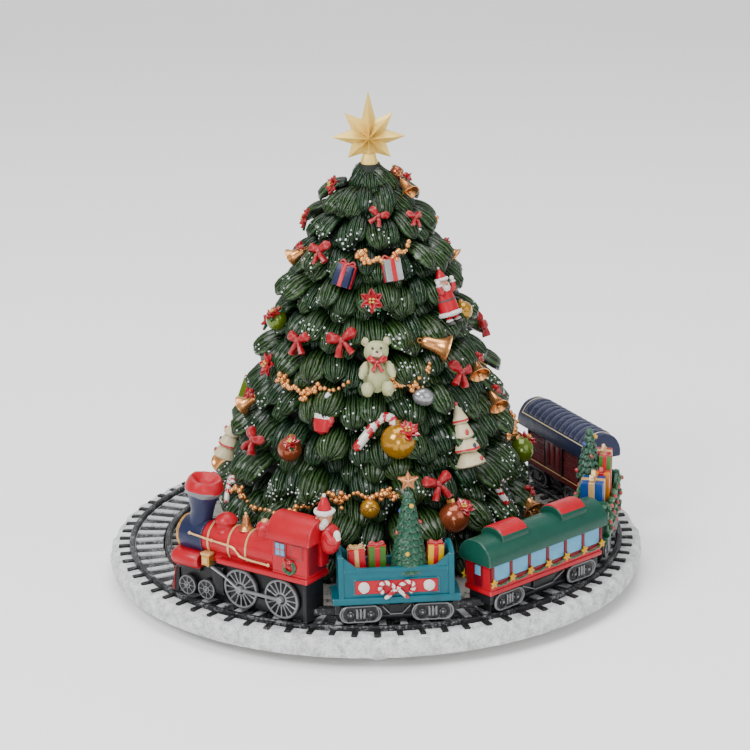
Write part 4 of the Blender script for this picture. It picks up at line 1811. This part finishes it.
@dataclass
class Wagon(Vehicle):
    """What every wagon has: its name, length and bogies, and an underframe."""

    label: str
    length: float
    bogie_x: float

    def chassis(self) -> None:
        """Make the underframe and bogies."""
        self.placed(self.label + "_bogies", underframe(self.length, self.bogie_x), ENAMEL,
                    [self.label + "_chassis"], "black_frame")


def open_body(half: float, wide: float, wall: float, end: float, floor: float, paint: Paint) -> Shape:
    """Return an open wagon body with a flange, dipped walls and raised ends.

    Args:
        half: half of its length.
        wide: half of its width.
        wall: height of the walls between the ends.
        end: height of the ends.
        floor: height of the floor.
        paint: its paint.

    Returns:
        The body on both sides.
    """
    low = 18.6
    body = brick((-half - 1.9, half + 1.9), (-wide - 0.6, wide + 0.6), (low, low + 2.3), paint, 0.5, 3)
    body.take(brick((-half, half), (-wide + 1.2, wide - 1.2), (low + 1.0, floor), paint, 0.2))
    dip = [(-half, low + 1.6), (half, low + 1.6), (half, end)]
    for t in range(9):
        x = half - 1.6 - (2 * half - 3.2) * t / 8
        dip.append((x, wall + (end - wall) * max(0.0, abs(x) / (half - 1.6) - 0.72) ** 2 / 0.0784))
    dip.append((-half, end))
    side = plate(dip, -wide, -wide + 1.3, paint, 0.3)
    for x in (-half + 0.9, half - 0.9):
        side.take(brick((x - 0.9, x + 0.9), (-wide - 0.35, -wide + 0.8), (low + 1.8, end + 0.25), paint,
                        0.35))
    side.take(brick((-half + 1.8, half - 1.8), (-wide - 0.25, -wide + 0.6), (wall - 1.5, wall - 0.1), paint,
                    0.3))
    body.take(side.mirrored())
    for x in (-half + 0.65, half - 0.65):
        body.take(brick((x - 0.65, x + 0.65), (-wide, wide), (low + 1.6, end), paint, 0.35))
        body.take(tube([(x, -wide, end), (x, 0, end + 0.6), (x, wide, end)], 0.8, paint, 8).lumped(0.2, 1.0))
    return body


def leafy_tree(radius: float, height: float, star: bool) -> Shape:
    """Return a small fir covered in round leaves, with coloured balls and perhaps a star."""
    tree = lathe([(0, 0), (radius * 0.78, 0.6), (radius * 0.55, height * 0.4), (0.8, height * 0.94),
                  (0, height)], Paint.FIR, 14)
    leaf = orb(0.17 * radius + 0.45, 0.5, 0.17 * radius + 0.6, Paint.FIR, 8, 5)
    rows = max(6, round(height / 2.2))
    for i in range(rows):
        share = (i + 0.5) / rows
        r = radius * (1 - share) ** 0.85 * 0.95 + 0.35
        count = max(5, round(2 * math.pi * r / 2.0))
        for k in range(count):
            a = 360.0 * (k + 0.5 * (i % 2)) / count
            tree.take(leaf, at(rz=a) @ at(0, -r, height * (share * 0.96) + 0.2, rx=-28))
    coats = (Paint.RED, Paint.YELLOW, Paint.BLUE, Paint.GLASS_COPPER, Paint.RED, Paint.BLUE, Paint.YELLOW)
    for i, coat in enumerate(coats):
        share = 0.14 + 0.11 * i
        a = 150.0 * i + 20
        ball = orb(0.75, 0.75, 0.75, coat, 10, 7)
        tree.take(ball, at(rz=a) @ at(0, -(radius * (1 - share) ** 0.85 + 0.9), height * share))
    if star:
        outline = []
        for i in range(10):
            r = 3.4 if i % 2 == 0 else 1.6
            outline.append((r * math.sin(math.pi * i / 5), r * math.cos(math.pi * i / 5)))
        tree.take(plate(outline, -0.8, 0.8, Paint.COPPER, 0.4), at(z=height + 2.2))
        for i in range(5):
            a = 2 * math.pi * i / 5
            tip = (3.1 * math.sin(a), -0.75, height + 2.2 + 3.1 * math.cos(a))
            tree.take(tube([(0, -1.25, height + 2.2), tip], [0.5, 0.15], Paint.COPPER, 6))
            tree.take(tube([(0, 1.25, height + 2.2), (tip[0], 0.75, tip[2])], [0.5, 0.15], Paint.COPPER, 6))
    return tree.lumped(0.22, 1.2, height)


@dataclass
class Gondola(Wagon):
    """The teal open wagon with a tree and parcels, and crossed canes on its sides."""

    wide: float = 5.35
    wall: float = 30.2

    def build(self) -> None:
        """Make the wagon and its load."""
        self.chassis()
        body = open_body(17.7, self.wide, self.wall, 34.0, 27.0, Paint.TEAL)
        y = -self.wide
        side = brick((-12.6, 12.6), (y - 0.28, y + 0.3), (22.0, 26.2), Paint.RED, 0.15)
        frame = [(-12.9, 21.8), (12.9, 21.8), (12.9, 26.5), (-12.9, 26.5)]
        ring = [Vector((frame[i][0], y - 0.1, frame[i][1])).lerp(Vector((frame[(i + 1) % 4][0], y - 0.1,
                                                                         frame[(i + 1) % 4][1])), s)
                for i in range(4) for s in (0.02, 0.5, 0.98)]
        side.take(tube(ring, 0.3, Paint.TEAL, 6, closed=True))
        for x in (-9.9, 9.9):
            side.take(orb(1.75, 0.42, 1.85, Paint.WHITE, 16, 8).lumped(0.25, 0.8, x), at(x, y - 0.35, 24.1))
        for lean, flip in ((-50, 180), (50, 0)):
            side.take(sugar_cane(10.2, 0.66), at(0, y - 0.95, 23.6, ry=lean) @ at(rz=flip))
        body.take(side.mirrored())
        self.placed("teal_body", body.lumped(0.12, 2.6), ENAMEL, ["gondola_body"], "teal")
        load = tied_parcel(5.0, 4.8, 7.6, Paint.RED, Paint.PALE_GOLD).moved(at(11.4, -0.6, 27.0, ry=3))
        load.take(tied_parcel(5.2, 4.8, 8.2, Paint.PARCEL_GREEN, Paint.RED), at(5.4, -0.5, 27.0))
        load.take(tied_parcel(4.9, 4.8, 8.0, Paint.YELLOW, Paint.RED), at(-12.2, -0.4, 27.0, ry=-3))
        load.take(leafy_tree(5.4, 26.2, True), at(-4.4, 0, 27.6))
        load.take(brick((-15.6, 15.6), (-3.9, 3.9), (26.4, 27.6), Paint.DEEP_RED, 0.4).lumped(0.4, 1.6))
        self.placed("teal_load", load, ENAMEL, ["gondola_load"], "load")


@dataclass
class Coach(Wagon):
    """The red coach with pale blue windows, a swag of stars and a green roof."""

    wide: float = 5.6
    windows: int = 6
    pitch: float = 8.0

    def build(self) -> None:
        """Make the coach."""
        self.chassis()
        y = -self.wide
        body = brick((-24.5, 24.5), (-self.wide + 0.2, self.wide - 0.2), (18.6, 29.6), Paint.RED, 0.35)
        body.take(brick((-24.9, 24.9), (-self.wide - 0.1, self.wide + 0.1), (18.5, 20.0), Paint.RED, 0.4))
        side = brick((-24.6, 24.6), (y - 0.05, y + 0.5), (21.9, 22.9), Paint.DEEP_RED, 0.2)
        panes, bars = Shape(), Shape()
        for i in range(self.windows):
            x = -20.0 + self.pitch * i
            panes.take(brick((x - 3.3, x + 3.3), (y - 0.12, y + 0.4), (23.0, 28.2), Paint.PANE, 0.12))
        for i in range(self.windows + 1):
            x = -24.0 + self.pitch * i
            bars.take(brick((x - 0.65, x + 0.65), (y - 0.3, y + 0.5), (22.6, 28.9), Paint.DEEP_RED, 0.18))
        side.take(panes).take(bars)
        swag = [(-24.0 + i * 0.8, y - 0.45, 22.4 - 1.1 * abs(math.sin(math.pi * i / 10.0)))
                for i in range(61)]
        side.take(tube(swag, 0.36, Paint.LEAF, 6).lumped(0.2, 0.7))
        for i in range(self.windows + 1):
            outline = []
            for k in range(10):
                r = 1.55 if k % 2 == 0 else 0.72
                outline.append((r * math.sin(math.pi * k / 5), r * math.cos(math.pi * k / 5)))
            star = plate(outline, -0.35, 0.35, Paint.YELLOW, 0.15).take(
                orb(0.45, 0.4, 0.45, Paint.ORANGE, 8, 5), at(y=-0.35))
            side.take(star, at(-24.0 + self.pitch * i, y - 0.75, 22.7, ry=12 * i))
        body.take(side.mirrored())
        for x, way in ((-24.5, -1), (24.5, 1)):
            body.take(brick((x - 0.3, x + 0.3), (-2.0, 2.0), (20.4, 28.2), Paint.DEEP_RED, 0.2))
            body.take(brick((x + way * 0.3 - 0.1, x + way * 0.3 + 0.1), (-1.2, 1.2), (24.2, 27.4), Paint.PANE,
                            0.05))
        self.placed("coach_walls", body.lumped(0.1, 2.6), ENAMEL, ["coach_body"], "loco_red")
        roof = arched_shell(-26.3, 26.3, 6.9, 7.6, 28.4, Paint.COACH_GREEN, 1.4, 0.6)
        for x in (-13.0, 13.0):
            roof.take(arched_shell(x - 5.7, x + 5.7, 4.8, 4.1, 33.8, Paint.COACH_GREEN, 1.2, 0.25))
            roof.take(arched_shell(x - 5.4, x + 5.4, 4.5, 3.6, 34.7, Paint.RED, 0.8, 0.3))
        self.placed("coach_top", roof.lumped(0.12, 3.4), ENAMEL, ["coach_roof"], "coach_green", 32)


@dataclass
class GiftWagon(Wagon):
    """The garlanded green wagon heaped with parcels."""

    wide: float = 5.4

    def build(self) -> None:
        """Make the wagon, its garland and its load."""
        self.chassis()
        body = open_body(16.0, self.wide, 29.4, 31.4, 25.0, Paint.FIR)
        y = -self.wide
        side = Shape()
        for z0, reach in ((29.6, 0.7), (25.0, 0.4), (21.0, 0.5)):
            line = [(-16.0 + i * 0.8, y - 0.25, z0 + reach * math.sin(i * 0.7)) for i in range(41)]
            side.take(tube(line, 0.85, Paint.LEAF, 7).lumped(0.6, 0.9, z0))
        for i in range(11):
            x = -15.0 + 3.0 * i
            side.take(orb(0.75, 0.75, 0.75, Paint.RED, 9, 6), at(x, y - 1.0, 29.8 - 4.4 * (i % 3)))
        body.take(side.mirrored())
        for x in (-17.0, 17.0):
            line = [(x, yy, 30.4 + 0.5 * math.sin(yy * 1.7)) for yy in np.linspace(-5.2, 5.2, 14)]
            body.take(tube(line, 0.95, Paint.LEAF, 7).lumped(0.6, 0.9, x))
        self.placed("garlanded_body", body, ENAMEL, ["gift_wagon_body"], "coach_green")
        load = tied_parcel(8.2, 7.2, 12.4, Paint.BLUE, Paint.PALE_GOLD).moved(at(9.0, 0, 25.0))
        load.take(tied_parcel(6.4, 5.0, 12.6, Paint.ORANGE, Paint.RED), at(0.6, 2.0, 25.0))
        load.take(tied_parcel(6.6, 6.6, 10.4, Paint.RED, Paint.PALE_GOLD), at(-8.4, 0.2, 25.0))
        load.take(tied_parcel(5.4, 5.2, 6.2, Paint.RIBBON_RED, Paint.PALE_GOLD), at(-8.0, 1.2, 35.4, ry=6))
        load.take(tied_parcel(4.2, 4.0, 4.4, Paint.PARCEL_GREEN, Paint.RED), at(-1.2, 2.6, 37.4, ry=-8))
        load.take(leafy_tree(3.6, 17.0, False), at(-1.0, -2.6, 34.6))
        load.take(brick((-14.6, 14.6), (-4.2, 4.2), (24.4, 26.0), Paint.FIR, 0.4).lumped(0.4, 1.6))
        self.placed("heaped_parcels", load, ENAMEL, ["gift_wagon_load"], "load")


@dataclass
class Boxcar(Wagon):
    """The red box wagon with plank sides and a ribbed navy roof."""

    ribs: int = 12
    pitch: float = 3.35

    def roof(self) -> None:
        """Make the roof, its ribs and the cream line round them."""
        roof = arched_shell(-23.0, 23.0, 7.0, 8.8, 31.4, Paint.NAVY, 1.6, 0.6)
        self.placed("arched_roof", roof.lumped(0.12, 2.6), ENAMEL, ["boxcar_roof"], "navy", 32)
        arc = [(0.0, 6.72 * math.cos(a), 33.0 + 7.05 * math.sin(a)) for a in
               (math.pi * (0.17 + 0.66 * i / 16) for i in range(17))]
        rib = tube(arc, 0.62, Paint.NAVY, 8)
        spots = [Spot(self.spot.place() @ Vector((-18.4 + self.pitch * i, 0, 0)),
                      (0, 0, math.radians(self.spot.angle - 90.0)), (2.1, 1, 1)) for i in range(self.ribs)]
        ribs = self.shop.repeated("roof_ribs", rib, spots, ENAMEL)
        self.shop.piece("roof_ribs", ribs, "train", ENAMEL, (), "navy")
        line = Shape()
        for side in (-1, 1):
            line.take(tube([(-20.6, side * 6.3, 36.2), (0, side * 6.3, 36.2), (20.6, side * 6.3, 36.2)], 0.24,
                           Paint.CREAM, 6))
        for x in (-20.6, 20.6):
            over = [(x, 6.82 * math.cos(a), 33.0 + 7.1 * math.sin(a)) for a in
                    (math.pi * (0.145 + 0.71 * i / 18) for i in range(19))]
            line.take(tube(over, 0.24, Paint.CREAM, 6))
        self.placed("roof_lines", line.lumped(0.08, 2.0), ENAMEL, (), "cream")

    def build(self) -> None:
        """Make the wagon."""
        self.chassis()
        body = brick((-17.4, 17.4), (-5.4, 5.4), (20.0, 32.4), Paint.DEEP_RED, 0.3)
        body.take(brick((-20.4, 20.4), (-5.8, 5.8), (18.6, 20.6), Paint.DEEP_RED, 0.4))
        side = Shape()
        for x0, x1 in ((-17.2, -6.2), (6.2, 17.2)):
            for k in range(9):
                z = 21.0 + 1.2 * k
                side.take(brick((x0, x1), (-5.62, -5.2), (z, z + 1.08), Paint.DEEP_RED, 0.16, 1))
        side.take(brick((-5.4, 5.4), (-5.9, -5.2), (21.0, 31.4), Paint.DEEP_RED, 0.3))
        for x in (-3.6, 0.0, 3.6):
            side.take(brick((x - 1.3, x + 1.3), (-6.05, -5.6), (22.2, 30.4), Paint.DEEP_RED, 0.3))
        for x in (-17.0, -5.9, 5.9, 17.0):
            side.take(brick((x - 0.45, x + 0.45), (-6.0, -5.2), (20.6, 31.6), Paint.BLACK, 0.2))
        side.take(tube([(-20.0, -5.9, 20.7), (20.0, -5.9, 20.7)], 0.2, Paint.PALE_GOLD, 6))
        body.take(side.mirrored())
        for x in (-17.5, 17.5):
            body.take(brick((x - 0.3, x + 0.3), (-4.6, 4.6), (21.4, 31.6), Paint.DEEP_RED, 0.25))
            body.take(brick((x - 0.55, x + 0.55), (-1.6, 1.6), (21.4, 30.0), Paint.RED, 0.25))
        self.placed("plank_body", body.lumped(0.14, 1.8), ENAMEL, ["boxcar_body"], "boxcar_red", 32)
        self.roof()


# ---- studio --------------------------------------------------------------------------------------
@dataclass
class Studio:
    """The pale floor, the soft lights and the camera."""

    distance: float = 900.0
    elevation: float = 17.7
    aim: float = 70.0
    lens: float = 132.8
    roll: float = -1.0
    shift: tuple[float, float] = (0.003, -0.0153)

    def floor(self) -> None:
        """Lay a seamless pale floor that curves up behind."""
        outline = [(-2600.0, 0.0), (900.0, 0.0)] + [(900 + 700 * math.sin(a), 700 - 700 * math.cos(a))
                                                    for a in
                                                   (math.pi / 2 * i / 12 for i in range(1, 13))] + [(1600.0,
                                                                                                     3200.0)]
        points = [(x, y, z) for y, z in outline for x in (-3000.0, 3000.0)]
        faces = [(2 * i, 2 * i + 1, 2 * i + 3, 2 * i + 2) for i in range(len(outline) - 1)]
        sweep = Shape().add(points, faces, Paint.WHITE)
        cloth = bpy.data.objects.new("studio_floor", sweep.mesh("studio_floor", 60))
        graph = Graph("studio_paper")
        soft = graph.grain(300.0, 2.0)
        cloth.data.materials.append(graph.surface({"Base Color": graph.mix(soft, (0.90, 0.90, 0.90),
                                                                           (0.93, 0.93, 0.93)), "Roughness": 0.9}))
        bpy.context.scene.collection.objects.link(cloth)

    def light(self, name: str, place: Point, size: float, power: float) -> None:
        """Hang a square soft light that faces the tree.

        Args:
            name: name of the light.
            place: where it hangs, in millimetres.
            size: length of its side in millimetres.
            power: power in watts.
        """
        data = bpy.data.lights.new(name, "AREA")
        data.size = size * MM
        data.energy = power
        lamp = bpy.data.objects.new(name, data)
        lamp.location = Vector(place) * MM
        lamp.rotation_euler = (Vector((0, 0, self.aim)) - Vector(place)).to_track_quat("-Z", "Y").to_euler()
        bpy.context.scene.collection.objects.link(lamp)

    def camera(self) -> None:
        """Set the camera at the front, a little above the train."""
        data = bpy.data.cameras.new("studio_camera")
        data.sensor_width = 36.0
        data.lens = self.lens
        data.shift_x, data.shift_y = self.shift
        data.clip_start, data.clip_end = 0.01, 20.0
        camera = bpy.data.objects.new("studio_camera", data)
        tilt = math.radians(self.elevation)
        back = Vector((0.0, -math.cos(tilt), math.sin(tilt)))
        camera.location = (Vector((0, 0, self.aim)) + back * self.distance) * MM
        look = (-back).to_track_quat("-Z", "Y")
        camera.rotation_mode = "QUATERNION"
        camera.rotation_quaternion = look @ Matrix.Rotation(math.radians(self.roll), 3, "Z").to_quaternion()
        bpy.context.scene.collection.objects.link(camera)
        bpy.context.scene.camera = camera

    def build(self) -> None:
        """Set up the studio."""
        self.floor()
        self.light("key", (-620, -700, 900), 520, 16)
        self.light("fill", (820, -560, 520), 760, 4)
        self.light("top", (0, 60, 1100), 900, 13)
        self.light("front", (40, -1250, 330), 420, 4)
        world = bpy.data.worlds.new("studio_air")
        world.use_nodes = True
        world.node_tree.nodes["Background"].inputs[0].default_value = (1.0, 1.0, 1.0, 1.0)
        world.node_tree.nodes["Background"].inputs[1].default_value = 0.55
        bpy.context.scene.world = world
        self.camera()


def main() -> None:
    """Build everything in order."""
    logging.basicConfig(level=logging.INFO, format="%(message)s")
    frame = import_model()
    shop = Shop()
    nodes = frame["nodes"]
    Studio().build()
    base = SnowyBase(shop, nodes)
    base.build()
    base.build_ring()
    MusicWork(shop, nodes).build()
    FirTree(shop).build()
    StarTopper(shop).build()
    Ornaments(shop).build()
    Locomotive(shop).build()
    Gondola(shop, TrackSpot(-85.6, 73.5), "gondola", 36.0, 11.0).build()
    Coach(shop, TrackSpot(-47.7, 73.3), "coach", 46.0, 16.0).build()
    GiftWagon(shop, TrackSpot(-12.0, 73.5), "gift_wagon", 33.0, 9.5).build()
    Boxcar(shop, TrackSpot(26.0, 73.5), "boxcar", 38.0, 12.5).build()
    shop.dress(nodes, DustedPaint("coupler_paint", (0.02, 0.02, 0.022), (0.25, 0.25, 0.26), 0.35, 0.8, 0.5),
               "couplers")
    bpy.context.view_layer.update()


if __name__ == "__main__":
    main()
